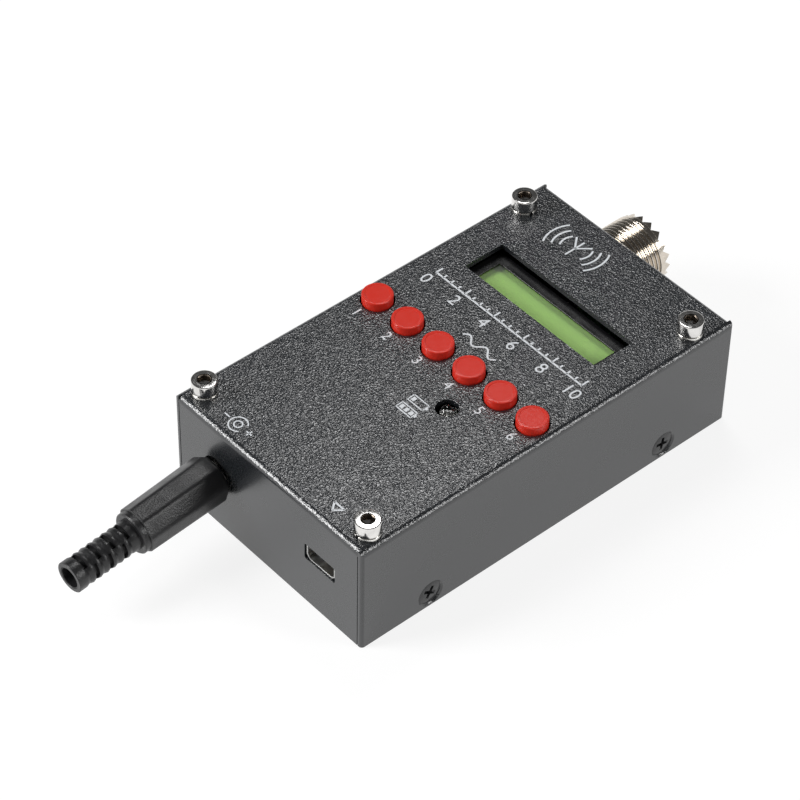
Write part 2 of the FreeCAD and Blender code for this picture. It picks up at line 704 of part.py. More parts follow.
def make_bottom_cover():
    side = f"({INNER_SIDE} - cover_gap)"
    end = f"({INNER_END} - cover_gap)"
    body = plate_body("cover_blank", (f"-{side}", side), (f"-{end}", end), ("0", "sheet_wall"))
    flanges = sketch_on(body, "XY_Plane", "0")
    for sign in ("-", ""):
        reach = span(sign, f"{side} - sheet_wall", side)
        rectangle(flanges, reach, ("-flange_length / 2", "flange_length / 2"))
    pad(body, flanges, "flange_height")

    def long_bottom_edge(edge):
        box = edge.BoundBox
        long_enough = box.YLength > measure("flange_length / 2")
        return level(edge, "0") and long_enough

    dress(body, "Fillet", long_bottom_edge, Radius="cover_bend")

    collars = []
    holes = []
    for number, (x, y, along, sign) in enumerate(side_screw_places(), start=1):
        inward = "-X" if along == "+X" else "+X"
        face = f"{sign}({side} - sheet_wall)"
        start = (face, y, "side_screw_level")
        collars.append(rod(f"collar_{number}", "collar_diameter", "collar_length", start, inward))
        start = (x, y, "side_screw_level")
        depth = "4 * sheet_wall + collar_length"
        tapped = "thread_diameter + 2 * thread_gap"
        holes.append(rod(f"tapped_hole_{number}", tapped, depth, start, inward))
    plain = fuse("cover_with_collars", [body] + collars)
    keep(cut("cover_cut", plain, holes + [*countersinks("cover_sink")]), "bottom_cover")


# Fasteners


def make_side_screws():
    head = "side_head / 2"
    shank = "thread_diameter / 2"
    body = turned(
        "side_screw",
        [
            ("0", "0"),
            (head, "0"),
            (shank, f"-({head} - {shank})"),
            (shank, "-side_screw_length"),
            ("0", "-side_screw_length"),
        ],
    )
    recess = cross(sketch_on(body, "XY_Plane"), "cross_length", "cross_width")
    pocket(body, recess, "cross_depth")
    sunk = "((side_sink - side_head) / 2 - seat_gap)"
    places = []
    for number, (x, y, along, sign) in enumerate(side_screw_places(), start=1):
        turn = f"{TURNS[along]} * rotation(vector(0; 0; 1); {number} * washer_step / 4)"
        places.append((f"{sign}({HALF_WIDTH} - {sunk})", y, "side_screw_level", turn))
    keep(copies("side_screw_set", body, places), "side_screws")


def make_panel_screws():
    head = "cap_head / 2"
    shank = "thread_diameter / 2"
    body = turned(
        "panel_screw",
        [
            ("0", "cap_head_height"),
            (head, "cap_head_height"),
            (head, "0"),
            (shank, "0"),
            (shank, "-panel_screw_length"),
            ("0", "-panel_screw_length"),
        ],
    )
    rim = "cap_head_height"
    dress(body, "Fillet", lambda edge: level(edge, rim), Radius="cap_head_edge")
    socket = hexagon(sketch_on(body, "XY_Plane", "cap_head_height"), "hex_socket")
    pocket(body, socket, "hex_socket_depth")
    seat = "case_height + washer_height"
    places = []
    for number, (x, y) in enumerate(SCREW_PLACES):
        turn = f"rotation(vector(0; 0; 1); {number} * washer_step / 3)"
        places.append((x, y, seat, turn))
    keep(copies("panel_screw_set", body, places), "panel_screws")


def make_lock_washers():
    body = new_body("lock_washer")
    flat = sketch_on(body, "XY_Plane")
    ring(flat, "0", "0", "washer_diameter")
    ring(flat, "0", "0", "washer_bore")
    pad(body, flat, "washer_height")
    slit = sketch_on(body, "XY_Plane")
    rectangle(slit, ("-washer_slit / 2", "washer_slit / 2"), ("-washer_diameter", "0"))
    pocket(body, slit, "washer_height", forward=True)
    places = []
    for number, (x, y) in enumerate(SCREW_PLACES):
        turn = f"rotation(vector(0; 0; 1); {number - 1} * washer_step)"
        places.append((x, y, "case_height", turn))
    keep(copies("lock_washer_set", body, places), "lock_washers")


def make_standoffs():
    body = new_body("standoff")
    section = hexagon(sketch_on(body, "XY_Plane"), "standoff_flats")
    ring(section, "0", "0", "thread_diameter + 2 * thread_gap")
    pad(body, section, f"{PANEL_UNDER} - board_level")
    turn = "rotation(vector(0; 0; 1); 90)"
    places = [(x, y, "board_level", turn) for x, y in SCREW_PLACES]
    keep(copies("standoff_set", body, places), "standoffs")


def make_board_screws():
    shank = "thread_diameter / 2"
    body = turned(
        "board_screw",
        [
            ("0", "-pan_head_height"),
            ("pan_head / 2", "-pan_head_height"),
            ("pan_head / 2", "0"),
            (shank, "0"),
            (shank, "board_screw_length"),
            ("0", "board_screw_length"),
        ],
    )
    rim = "-pan_head_height"
    dress(body, "Fillet", lambda edge: level(edge, rim), Radius="pan_head_height / 3")
    recess = cross(sketch_on(body, "XY_Plane", "-pan_head_height"), "cross_length", "cross_width")
    pocket(body, recess, "cross_depth", forward=True)
    places = [(x, y, BOARD_UNDER, UPRIGHT) for x, y in SCREW_PLACES]
    keep(copies("board_screw_set", body, places), "board_screws")


# Main board and what is soldered to it


def make_main_board():
    body = new_body("main_board_body")
    shape = sketch_on(body, "XY_Plane", BOARD_UNDER)
    near = f"(-{JACK_SIDE} - jack_width / 2 - jack_notch_gap)"
    far = f"(-{JACK_SIDE} + jack_width / 2 + jack_notch_gap)"
    end = f"(-{INNER_END} + jack_wall_gap + jack_depth + jack_notch_gap)"
    outline(
        shape,
        [
            (f"-{BOARD_SIDE}", BOARD_FRONT),
            (near, BOARD_FRONT),
            (near, end),
            (far, end),
            (far, BOARD_FRONT),
            (BOARD_SIDE, BOARD_FRONT),
            (BOARD_SIDE, BOARD_BACK),
            (f"-{BOARD_SIDE}", BOARD_BACK),
        ],
    )
    for x, y in SCREW_PLACES:
        ring(shape, x, y, "board_hole")
    pad(body, shape, "board_thickness")
    keep(body, "main_board")


def make_chip(label, x, y, width, depth, height):
    top = f"board_level + solder_gap + {height}"
    body = plate_body(
        f"{label}_body",
        (f"{x} - {width} / 2", f"{x} + {width} / 2"),
        (f"{y} - {depth} / 2", f"{y} + {depth} / 2"),
        ("board_level + solder_gap", top),
    )
    dress(body, "Chamfer", lambda edge: level(edge, top), Size="chip_edge")
    keep(body, label)


def make_controller_chip():
    side = "controller_side"
    make_chip("controller_chip", "0", "controller_row", side, side, "controller_height")


def make_synthesizer_chip():
    across = ("synth_width", "synth_length")
    make_chip("synthesizer_chip", "synth_side", "synth_row", *across, "synth_height")


def make_crystal():
    top = "board_level + crystal_height"
    body = plate_body(
        "crystal_body",
        ("-crystal_length / 2", "crystal_length / 2"),
        ("crystal_row - crystal_width / 2", "crystal_row + crystal_width / 2"),
        ("board_level", top),
    )
    dress(body, "Fillet", upright, Radius="crystal_width / 2 - chip_edge")
    dress(body, "Fillet", lambda edge: level(edge, top), Radius="chip_edge")
    keep(body, "crystal_can")


def make_transformer_core():
    body = new_body("transformer_body")
    shape = sketch_on(body, "XY_Plane", "board_level")
    ring(shape, "-coax_side", "core_row", "core_diameter")
    ring(shape, "-coax_side", "core_row", "core_bore")
    pad(body, shape, "core_height")
    top = "board_level + core_height"
    dress(body, "Fillet", lambda edge: level(edge, top), Radius="core_edge")
    keep(body, "transformer_core")


# Display

FRAME_TOP = f"({PANEL_UNDER} - display_drop)"
FRAME_UNDER = f"({FRAME_TOP} - display_frame_height)"
FRAME_FRONT = "(window_back - display_frame_depth)"
FRAME_SIDE = "(display_frame_width / 2)"
GLASS_TOP = f"({FRAME_TOP} - display_frame_wall)"
GLASS_UNDER = f"({GLASS_TOP} - glass_thickness)"
GLASS_INSET = "(display_frame_wall + glass_gap)"
DISPLAY_BOARD_UNDER = f"({FRAME_UNDER} - display_board_thickness)"
DISPLAY_BACK = "(window_back + display_board_back)"
DISPLAY_FRONT = f"({DISPLAY_BACK} - display_board_depth)"
VIEW_FRONT = f"({FRAME_FRONT} + (display_frame_depth - view_depth) / 2)"


def make_display_frame():
    body = plate_body(
        "display_frame_body",
        (f"-{FRAME_SIDE}", FRAME_SIDE),
        (FRAME_FRONT, "window_back"),
        (FRAME_UNDER, FRAME_TOP),
    )
    dress(body, "Fillet", upright, Radius="display_frame_corner")
    inside = sketch_on(body, "XY_Plane", FRAME_UNDER)
    rectangle(
        inside,
        (f"-({FRAME_SIDE} - display_frame_wall)", f"{FRAME_SIDE} - display_frame_wall"),
        (f"{FRAME_FRONT} + display_frame_wall", "window_back - display_frame_wall"),
    )
    pocket(body, inside, "display_frame_height - display_frame_wall", forward=True)
    view = sketch_on(body, "XY_Plane", FRAME_TOP)
    rectangle(
        view, ("-view_width / 2", "view_width / 2"), (VIEW_FRONT, f"{VIEW_FRONT} + view_depth")
    )
    pocket(body, view, "2 * display_frame_wall")
    keep(body, "display_frame")


def make_display_stack():
    x = (f"-({FRAME_SIDE} - {GLASS_INSET})", f"{FRAME_SIDE} - {GLASS_INSET}")
    y = (f"{FRAME_FRONT} + {GLASS_INSET}", f"window_back - {GLASS_INSET}")
    keep(block("display_glass_plate", x, y, (GLASS_UNDER, GLASS_TOP)), "display_glass")
    keep(block("display_backlight_block", x, y, (FRAME_UNDER, GLASS_UNDER)), "display_backlight")


def make_display_board():
    body = plate_body(
        "display_board_body",
        ("-display_board_width / 2", "display_board_width / 2"),
        (DISPLAY_FRONT, DISPLAY_BACK),
        (DISPLAY_BOARD_UNDER, FRAME_UNDER),
    )
    keep(body, "display_board")
    spacer = new_body("display_spacer")
    pad(
        spacer,
        ring(sketch_on(spacer, "XY_Plane"), "0", "0", "spacer_diameter"),
        f"{DISPLAY_BOARD_UNDER} - board_level",
    )
    side = "(display_board_width / 2 - spacer_inset)"
    front = f"{DISPLAY_FRONT} + spacer_inset"
    back = f"{DISPLAY_BACK} - spacer_inset"
    places = [(f"{s}{side}", y, "board_level", UPRIGHT) for y in (front, back) for s in ("-", "")]
    keep(copies("display_spacer_set", spacer, places), "display_spacers")


def make_display_header():
    middle = "(window_back - header_width)"
    length = f"({PIN_COUNT - 1} * pin_pitch + header_width)"
    between_spacers = "display_board_width - 4 * spacer_inset - 2 * spacer_diameter"
    strip_length = f"min({length}; {between_spacers})"
    strip_top = "board_level + header_height"
    strip = block(
        "display_header_strip",
        (f"-{strip_length} / 2", f"{strip_length} / 2"),
        (f"{middle} - header_width / 2", f"{middle} + header_width / 2"),
        ("board_level", strip_top),
    )
    keep(strip, "display_header")
    pin = block(
        "header_pin",
        ("-pin_side / 2", "pin_side / 2"),
        ("-pin_side / 2", "pin_side / 2"),
        ("0", f"{DISPLAY_BOARD_UNDER} - ({strip_top})"),
    )
    room = measure(strip_length) - measure("header_width")
    fitting = min(int(room / measure("pin_pitch")) + 1, PIN_COUNT)
    places = []
    for number in range(fitting):
        x = f"({number} - {(fitting - 1) / 2}) * pin_pitch"
        places.append((x, middle, strip_top, UPRIGHT))
    holder = doc.addObject("Part::Compound", "header_pin_holder")
    holder.Links = [pin]
    keep(copies("header_pin_set", holder, places), "display_pins")


# Keys

KEY_TOP = "(case_height + key_stand)"
KEY_UNDER = f"({KEY_TOP} - key_height)"
STEM_TOP = f"({KEY_UNDER} + stem_grip)"
PLATE_UNDER = "(board_level + switch_height - switch_plate)"
WELL_FLOOR = f"({PLATE_UNDER} - switch_well_depth)"
DOME_TOP = f"({WELL_FLOOR} + dome_rise)"
STEM_FOOT = f"({DOME_TOP} + stem_foot)"


def key_side(number):
    return f"({number} - {(KEY_COUNT - 1) / 2}) * key_pitch"


def make_key_cap(number):
    bore = "(stem_diameter / 2 + push_gap)"
    outer = "key_diameter / 2"
    body = turned(
        f"key_cap_{number + 1}",
        [
            (bore, KEY_UNDER),
            (outer, KEY_UNDER),
            (outer, KEY_TOP),
            ("0", KEY_TOP),
            ("0", STEM_TOP),
            (bore, STEM_TOP),
        ],
    )
    dress(body, "Fillet", lambda edge: level(edge, KEY_TOP), Radius="key_rim")
    place(body, key_side(number), "key_row")
    keep(body, f"button_cap_{number + 1}")


def make_key_stem(number):
    flange = "stem_flange / 2"
    stem = "stem_diameter / 2"
    shoulder = f"{STEM_FOOT} + stem_flange_height"
    body = turned(
        f"key_stem_{number + 1}",
        [
            ("0", STEM_FOOT),
            (flange, STEM_FOOT),
            (flange, shoulder),
            (stem, shoulder),
            (stem, STEM_TOP),
            ("0", STEM_TOP),
        ],
    )
    place(body, key_side(number), "key_row")
    keep(body, f"button_stem_{number + 1}")


def make_switch_base(number):
    half = "switch_side / 2"
    inner = f"({half} - switch_plate)"
    body = plate_body(
        f"switch_base_body_{number + 1}",
        (f"-{half}", half),
        (f"-{inner}", inner),
        ("board_level", PLATE_UNDER),
    )
    well = ring(sketch_on(body, "XY_Plane", PLATE_UNDER), "0", "0", "switch_well")
    pocket(body, well, "switch_well_depth")
    place(body, key_side(number), "key_row")
    keep(body, f"switch_base_{number + 1}")


def make_switch_plates():
    half = "switch_side / 2"
    top = "board_level + switch_height"
    body = plate_body("switch_plate_body", (f"-{half}", half), (f"-{half}", half), (PLATE_UNDER, top))
    tabs = sketch_on(body, "XY_Plane", PLATE_UNDER)
    inner = f"({half} - switch_plate)"
    rectangle(tabs, (f"-{half} / 2", f"{half} / 2"), (inner, half))
    rectangle(tabs, (f"-{half} / 2", f"{half} / 2"), (f"-{half}", f"-{inner}"))
    folded = pad(body, tabs, "switch_height - switch_plate")
    folded.Reversed = True
    hole = ring(sketch_on(body, "XY_Plane", top), "0", "0", "stem_diameter + 2 * stem_gap")
    pocket(body, hole, "2 * switch_plate")
    places = [(key_side(n), "key_row", "0", UPRIGHT) for n in range(KEY_COUNT)]
    keep(copies("switch_plate_set", body, places), "switch_plates")


def make_switch_domes():
    outer = "dome_diameter / 2"
    crown = "dome_diameter / 6"
    body = turned(
        "switch_dome",
        [
            (outer, WELL_FLOOR),
            (crown, DOME_TOP),
            ("0", DOME_TOP),
            ("0", f"{DOME_TOP} - dome_sheet"),
            (crown, f"{DOME_TOP} - dome_sheet"),
            (f"{outer} - dome_sheet", WELL_FLOOR),
        ],
    )
    places = [(key_side(n), "key_row", "0", UPRIGHT) for n in range(KEY_COUNT)]
    keep(copies("switch_dome_set", body, places), "switch_domes")


# Lamp


def make_lamp():
    top = "(case_height + lamp_stand)"
    foot = f"({top} - lamp_height)"
    lens = "lamp_diameter / 2"
    flange = "lamp_flange / 2"
    body = turned(
        "lamp_body",
        [
            ("0", foot),
            (flange, foot),
            (flange, f"{foot} + lamp_flange_height"),
            (lens, f"{foot} + lamp_flange_height"),
            (lens, top),
            ("0", top),
        ],
    )
    dress(body, "Fillet", lambda edge: level(edge, top), Radius="lamp_diameter / 2 - lamp_tip")
    place(body, "lamp_side", "lamp_row")
    keep(body, "lamp_lens")
    lead = block(
        "lamp_lead",
        ("-lead_side / 2", "lead_side / 2"),
        ("-lead_side / 2", "lead_side / 2"),
        ("board_level", foot),
    )
    holder = doc.addObject("Part::Compound", "lamp_lead_holder")
    holder.Links = [lead]
    places = [(f"lamp_side {s} lead_pitch / 2", "lamp_row", "0", UPRIGHT) for s in ("-", "+")]
    keep(copies("lamp_lead_set", holder, places), "lamp_leads")


# Data socket

PORT_FRONT = f"(-{HALF_LENGTH} + port_set_back)"
PORT_BACK = f"({PORT_FRONT} + port_depth)"
PORT_TOP = "(board_level + port_height)"
PORT_INNER_TOP = f"({PORT_TOP} - port_wall)"
TONGUE_TOP = f"({PORT_INNER_TOP} - tongue_drop)"
TONGUE_UNDER = f"({TONGUE_TOP} - tongue_thickness)"
ROOT_FRONT = f"({PORT_BACK} - port_wall - tongue_root)"


def port_section(wall):
    """The socket's outline, drawn in by a wall: a box with slanted lower corners."""
    side = f"(port_width / 2 - {wall})"
    low = f"(board_level + {wall})"
    high = f"(board_level + port_height - {wall})"
    slope = f"(port_slope - {wall} * (2 - sqrt(2)))"
    return [
        (f"{PORT_SIDE} - {side} + {slope}", low),
        (f"{PORT_SIDE} + {side} - {slope}", low),
        (f"{PORT_SIDE} + {side}", f"{low} + {slope}"),
        (f"{PORT_SIDE} + {side}", high),
        (f"{PORT_SIDE} - {side}", high),
        (f"{PORT_SIDE} - {side}", f"{low} + {slope}"),
    ]


def make_port():
    body = new_body("port_shell_body")
    outer = outline(sketch_on(body, "XZ_Plane", f"-{PORT_FRONT}"), port_section("0"))
    pad(body, outer, "port_depth").Reversed = True
    inner = outline(sketch_on(body, "XZ_Plane", f"-{PORT_FRONT}"), port_section("port_wall"))
    pocket(body, inner, "port_depth - port_wall")
    keep(body, "port_shell")

    block_body = new_body("port_tongue_body")
    root = sketch_on(block_body, "XZ_Plane", f"-{ROOT_FRONT}")
    outline(root, port_section("(port_wall + push_gap)"))
    pad(block_body, root, "tongue_root").Reversed = True
    tongue = sketch_on(block_body, "XZ_Plane", f"-{ROOT_FRONT}")
    rectangle(
        tongue,
        (f"{PORT_SIDE} - tongue_width / 2", f"{PORT_SIDE} + tongue_width / 2"),
        (TONGUE_UNDER, TONGUE_TOP),
    )
    pad(block_body, tongue, f"{ROOT_FRONT} - {PORT_FRONT} - tongue_set_back")
    keep(block_body, "port_tongue")

    contact = block(
        "port_contact",
        ("-contact_width / 2", "contact_width / 2"),
        (f"{ROOT_FRONT} - contact_length", ROOT_FRONT),
        (f"{TONGUE_UNDER} - contact_thickness", TONGUE_UNDER),
    )
    holder = doc.addObject("Part::Compound", "port_contact_holder")
    holder.Links = [contact]
    places = []
    for number in range(CONTACT_COUNT):
        x = f"{PORT_SIDE} + ({number} - {(CONTACT_COUNT - 1) / 2}) * contact_pitch"
        places.append((x, "0", "0", UPRIGHT))
    keep(copies("port_contact_set", holder, places), "port_contacts")


# Power jack

JACK_FRONT = f"(-{INNER_END} + jack_wall_gap)"
JACK_BACK = f"({JACK_FRONT} + jack_depth)"
LEAF_TOP = "(jack_level - jack_bore / 2)"


def make_jack():
    half = "jack_width / 2"
    x = (f"-{JACK_SIDE} - {half}", f"-{JACK_SIDE} + {half}")
    z = (f"jack_level - {half}", f"jack_level + {half}")
    housing = block("jack_block", x, (JACK_FRONT, JACK_BACK), z)
    wing_back = f"{JACK_BACK} - jack_depth / 4"
    wing_front = f"{JACK_FRONT} + jack_depth / 4"
    wings = block(
        "jack_wings",
        (f"-{JACK_SIDE} - {half} - jack_wing", f"-{JACK_SIDE} + {half} + jack_wing"),
        (wing_front, wing_back),
        ("board_level", "board_level + jack_wing_height"),
    )
    axis = (f"-{JACK_SIDE}", JACK_FRONT, "jack_level")
    bore = rod("jack_bore_tool", "jack_bore", "jack_bore_depth", axis, "+Y")
    pin_hole = rod("jack_pin_hole", "jack_pin + 2 * push_gap", "jack_depth", axis, "+Y")
    slot_half = "(leaf_width / 2 + leaf_slot_gap)"
    slot = block(
        "leaf_slot",
        (f"-{JACK_SIDE} - {slot_half}", f"-{JACK_SIDE} + {slot_half}"),
        (JACK_FRONT, f"{JACK_FRONT} + jack_bore_depth"),
        (f"{LEAF_TOP} - leaf_thickness", "jack_level"),
    )
    body = fuse("jack_solid", [housing, wings])
    keep(cut("jack_housing_cut", body, [bore, pin_hole, slot]), "jack_housing")

    start = (f"-{JACK_SIDE}", f"{JACK_FRONT} + jack_pin_set_back", "jack_level")
    length = "jack_depth - jack_pin_set_back + jack_pin_tail"
    plain = turned(
        "jack_pin_body",
        [("0", "0"), ("jack_pin / 2", "0"), ("jack_pin / 2", length), ("0", length)],
    )
    dress(plain, "Fillet", lambda edge: level(edge, "0"), Radius="jack_pin / 4")
    place(plain, *start, turn=TURNS["+Y"])
    keep(plain, "jack_pin")

    leaf = block(
        "jack_leaf_strip",
        (f"-{JACK_SIDE} - leaf_width / 2", f"-{JACK_SIDE} + leaf_width / 2"),
        (f"{JACK_FRONT} + jack_bore_depth - leaf_length", f"{JACK_FRONT} + jack_bore_depth"),
        (f"{LEAF_TOP} - leaf_thickness", LEAF_TOP),
    )
    keep(leaf, "jack_leaf")


# Power plug: its own Z axis points out of the jack, from the middle of the engaged barrel

PLUG_TIP = "(-plug_entry / 2)"
WALL_FACE = "(plug_entry / 2)"
BODY_FRONT = f"({WALL_FACE} + plug_stand)"
BODY_BACK = f"({BODY_FRONT} + plug_body_length)"
GRIP_FRONT = f"({BODY_FRONT} + plug_lip)"
GRIP_BACK = f"({GRIP_FRONT} + grip_length)"
NECK_BACK = f"({GRIP_BACK} + neck_length)"
TAIL_BACK = f"({NECK_BACK} + tail_length)"
PLUG_TURN = "rotation(vector(0; 0; 1); plug_yaw) * rotation(vector(1; 0; 0); 90 + plug_droop)"


def place_plug(item):
    y = f"-{HALF_LENGTH} + plug_entry / 2"
    return place(item, f"-{JACK_SIDE}", y, "jack_level", PLUG_TURN)


def make_plug_core():
    barrel = "barrel_diameter / 2"
    inner = "barrel_bore / 2"
    thread = "plug_body_diameter / 2"
    tube = turned(
        "plug_barrel",
        [
            (inner, PLUG_TIP),
            (barrel, PLUG_TIP),
            (barrel, BODY_FRONT),
            (thread, BODY_FRONT),
            (thread, BODY_BACK),
            (inner, BODY_BACK),
        ],
    )
    lug = block(
        "plug_lug",
        ("-lug_width / 2", "lug_width / 2"),
        ("lug_offset", "lug_offset + lug_thickness"),
        (f"{BODY_BACK} - lug_thickness", f"{BODY_BACK} + lug_length"),
    )
    keep(place_plug(fuse("plug_core_solid", [tube, lug])), "plug_core")


def make_plug_inside():
    outer = "(barrel_bore / 2 - push_gap)"
    inner = "(inner_contact / 2 + push_gap)"
    front = f"({PLUG_TIP} + barrel_bore / 16)"
    sleeve = turned(
        "plug_sleeve",
        [(inner, front), (outer, front), (outer, BODY_BACK), (inner, BODY_BACK)],
    )
    keep(place_plug(sleeve), "plug_insulator")

    contact = "inner_contact / 2"
    hole = "pin_bore / 2"
    depth = f"({front} + pin_bore_depth)"
    tail = f"({BODY_BACK} + lug_length / 2)"
    tube = turned(
        "plug_contact_tube",
        [
            (hole, front),
            (contact, front),
            (contact, BODY_BACK),
            (f"{contact} / 2", BODY_BACK),
            (f"{contact} / 2", tail),
            ("0", tail),
            ("0", depth),
            (hole, depth),
        ],
    )
    keep(place_plug(tube), "plug_contact")


def grip_section(body, height, flats):
    """A regular polygon, turned by grip_turn, with the given distance across its flats."""
    sketch = sketch_on(body, "XY_Plane", height)
    step = 360 / GRIP_SIDES
    radius = f"{flats} / (2 * cos({step / 2} deg))"
    points = []
    for number in range(GRIP_SIDES):
        angle = f"(grip_turn + {number * step}) * 1 deg"
        points.append((f"{radius} * cos({angle})", f"{radius} * sin({angle})"))
    return outline(sketch, points)


def loft(body, first, second):
    feature = body.newObject("PartDesign::AdditiveLoft", f"{body.Name}_loft")
    feature.Profile = first
    feature.Sections = [second]
    feature.Ruled = True
    return feature


def make_plug_cover():
    body = new_body("plug_cover_body")
    shoulder = f"({GRIP_FRONT} + grip_chamfer)"
    mouth = grip_section(body, GRIP_FRONT, "grip_mouth")
    near = grip_section(body, shoulder, "grip_near")
    loft(body, mouth, near)
    near_again = grip_section(body, shoulder, "grip_near")
    far = grip_section(body, GRIP_BACK, "grip_far")
    loft(body, near_again, far)

    tail = sketch_on(body, "XZ_Plane")
    neck = "neck_diameter / 2"
    relief = "tail_diameter / 2"
    buried = f"({GRIP_BACK} - neck_length)"
    outline(
        tail,
        [
            ("0", buried),
            (relief, buried),
            (relief, GRIP_BACK),
            (neck, GRIP_BACK),
            (neck, NECK_BACK),
            (relief, NECK_BACK),
            (relief, TAIL_BACK),
            ("0", TAIL_BACK),
        ],
    )
    revolve(body, tail)

    bore = sketch_on(body, "XZ_Plane")
    wide_bore = "(plug_body_diameter / 2 + cover_bore_gap)"
    cord = "cord_bore / 2"
    narrow = "tail_bore / 2"
    floor = f"({GRIP_BACK} - neck_length)"
    outline(
        bore,
        [
            ("0", GRIP_FRONT),
            (wide_bore, GRIP_FRONT),
            (wide_bore, floor),
            (cord, floor),
            (cord, NECK_BACK),
            (narrow, NECK_BACK),
            (narrow, TAIL_BACK),
            ("0", TAIL_BACK),
        ],
    )
    revolve(body, bore, "Groove")

    last = f"({TAIL_BACK} - slot_end)"
    half = "slot_reach / 2"
    staggered = (("XZ_Plane", "0", SLOT_ROWS), ("YZ_Plane", "slot_pitch / 2", SLOT_ROWS - 1))
    for plane, shift, count in staggered:
        slot = sketch_on(body, plane)
        top = f"{last} - {shift}"
        rectangle(slot, (f"-{half}", half), (f"{top} - slot_width", top))
        opening = pocket(body, slot, "2 * tail_diameter")
        opening.Midplane = True
        run = f"slot_pitch * {count - 1}"
        rows = pattern(body, opening, "LinearPattern", (slot, ["V_Axis"]), count, Length=run)
        rows.Reversed = True
    keep(place_plug(body), "plug_cover")


# Coaxial socket: its own Z axis points out of the back wall, from the wall's inner face

COAX_FRONT = "(sheet_wall + coax_reach)"
TOOTH_ROOT = f"({COAX_FRONT} - tooth_depth)"
INSULATOR_FACE = f"({TOOTH_ROOT} - coax_recess)"
NECK_END = "(-coax_flange_height - coax_neck_length)"


def place_coax(item):
    return place(item, "-coax_side", INNER_END, "coax_level", TURNS["+Y"])


def make_coax_body():
    barrel = "coax_diameter / 2"
    bore = "coax_bore / 2"
    seat = "coax_seat / 2"
    mouth = "coax_mouth / 2"
    lip = "coax_lip / 2"
    spigot = "insulator_spigot / 2"
    body = turned(
        "coax_barrel",
        [
            (mouth, COAX_FRONT),
            (lip, COAX_FRONT),
            (lip, TOOTH_ROOT),
            (barrel, TOOTH_ROOT),
            (barrel, "sheet_wall + coax_relief_length"),
            ("coax_relief / 2", "sheet_wall + coax_relief_length"),
            ("coax_relief / 2", "0"),
            ("coax_flange / 2", "0"),
            ("coax_flange / 2", "-coax_flange_height"),
            ("coax_neck / 2", "-coax_flange_height"),
            ("coax_neck / 2", NECK_END),
            (spigot, NECK_END),
            (spigot, "0"),
            (seat, "0"),
            (seat, INSULATOR_FACE),
            (bore, INSULATOR_FACE),
            (bore, TOOTH_ROOT),
            (mouth, TOOTH_ROOT),
        ],
    )
    groove = sketch_on(body, "XZ_Plane")
    start = "(sheet_wall + coax_thread_start)"
    end = f"({start} + coax_pitch - coax_thread_land)"
    root = f"({barrel} - coax_thread_depth)"
    outline(groove, [(barrel, start), (root, f"({start} + {end}) / 2"), (barrel, end)])
    first = revolve(body, groove, "Groove")
    run = measure(f"{TOOTH_ROOT} - {start}")
    turns = int(run / measure("coax_pitch"))
    pitches = f"coax_pitch * {turns - 1}"
    pattern(body, first, "LinearPattern", (groove, ["V_Axis"]), turns, Length=pitches)
    notch = sketch_on(body, "XZ_Plane")
    middle = "(coax_lip + coax_mouth) / 4"
    half = f"({middle} * {math.sin(math.pi / TOOTH_COUNT)})"
    outline(notch, [("0", TOOTH_ROOT), (half, COAX_FRONT), (f"-{half}", COAX_FRONT)])
    gap = pocket(body, notch, "coax_diameter")
    pattern(body, gap, "PolarPattern", (notch, ["V_Axis"]), TOOTH_COUNT, Angle="360")
    place_coax(body)

    legs = []
    for side in ("-", "+"):
        for low, high in (
            ("board_level", "board_level + leg_thickness"),
            (f"{BOARD_UNDER} - leg_thickness", BOARD_UNDER),
        ):
            offset = "(insulator_spigot / 2 + leg_wall + leg_width / 2)"
            centre = f"(-coax_side {side} {offset})"
            legs.append(
                block(
                    f"coax_leg_{len(legs) + 1}",
                    (f"{centre} - leg_width / 2", f"{centre} + leg_width / 2"),
                    (f"{BOARD_BACK} - leg_length", f"{BOARD_BACK} + coax_neck_length"),
                    (low, high),
                )
            )
    keep(fuse("coax_solid", [body] + legs), "coax_body")


def make_coax_inside():
    outer = "(coax_seat / 2 - push_gap)"
    spigot = "(insulator_spigot / 2 - push_gap)"
    hole = "(coax_contact / 2 + push_gap)"
    insulator = turned(
        "coax_insulator_body",
        [
            (hole, INSULATOR_FACE),
            (outer, INSULATOR_FACE),
            (outer, "0"),
            (spigot, "0"),
            (spigot, NECK_END),
            (hole, NECK_END),
        ],
    )
    keep(place_coax(insulator), "coax_insulator")

    contact = "coax_contact / 2"
    bore = "coax_contact_bore / 2"
    tail = "coax_tail / 2"
    floor = f"({INSULATOR_FACE} - coax_contact_depth)"
    tail_end = f"({NECK_END} - coax_tail_length)"
    body = turned(
        "coax_contact_body",
        [
            ("0", floor),
            (bore, floor),
            (bore, INSULATOR_FACE),
            (contact, INSULATOR_FACE),
            (contact, NECK_END),
            (tail, NECK_END),
            (tail, tail_end),
            ("0", tail_end),
        ],
    )
    slit = sketch_on(body, "XZ_Plane")
    half = "coax_contact_slit / 2"
    bottom = f"{INSULATOR_FACE} - coax_contact_depth / 2"
    rectangle(slit, (f"-{half}", half), (bottom, INSULATOR_FACE))
    opening = pocket(body, slit, "2 * coax_contact")
    opening.Midplane = True
    pattern(body, opening, "PolarPattern", (slit, ["V_Axis"]), CONTACT_SLITS, Angle="180")
    place_coax(body)
    half_tail = "coax_tail / 2"
    foot = block(
        "coax_foot",
        (f"-coax_side - {half_tail}", f"-coax_side + {half_tail}"),
        (f"{INNER_END} + {tail_end}", f"{INNER_END} + {tail_end} + coax_tail"),
        ("board_level", "coax_level"),
    )
    keep(fuse("coax_contact_solid", [body, foot]), "coax_contact")


# Battery

BATTERY_UNDER = "(sheet_wall + pad_height)"
BATTERY_FRONT = "(battery_middle - battery_length / 2)"
BATTERY_BACK = "(battery_middle + battery_length / 2)"


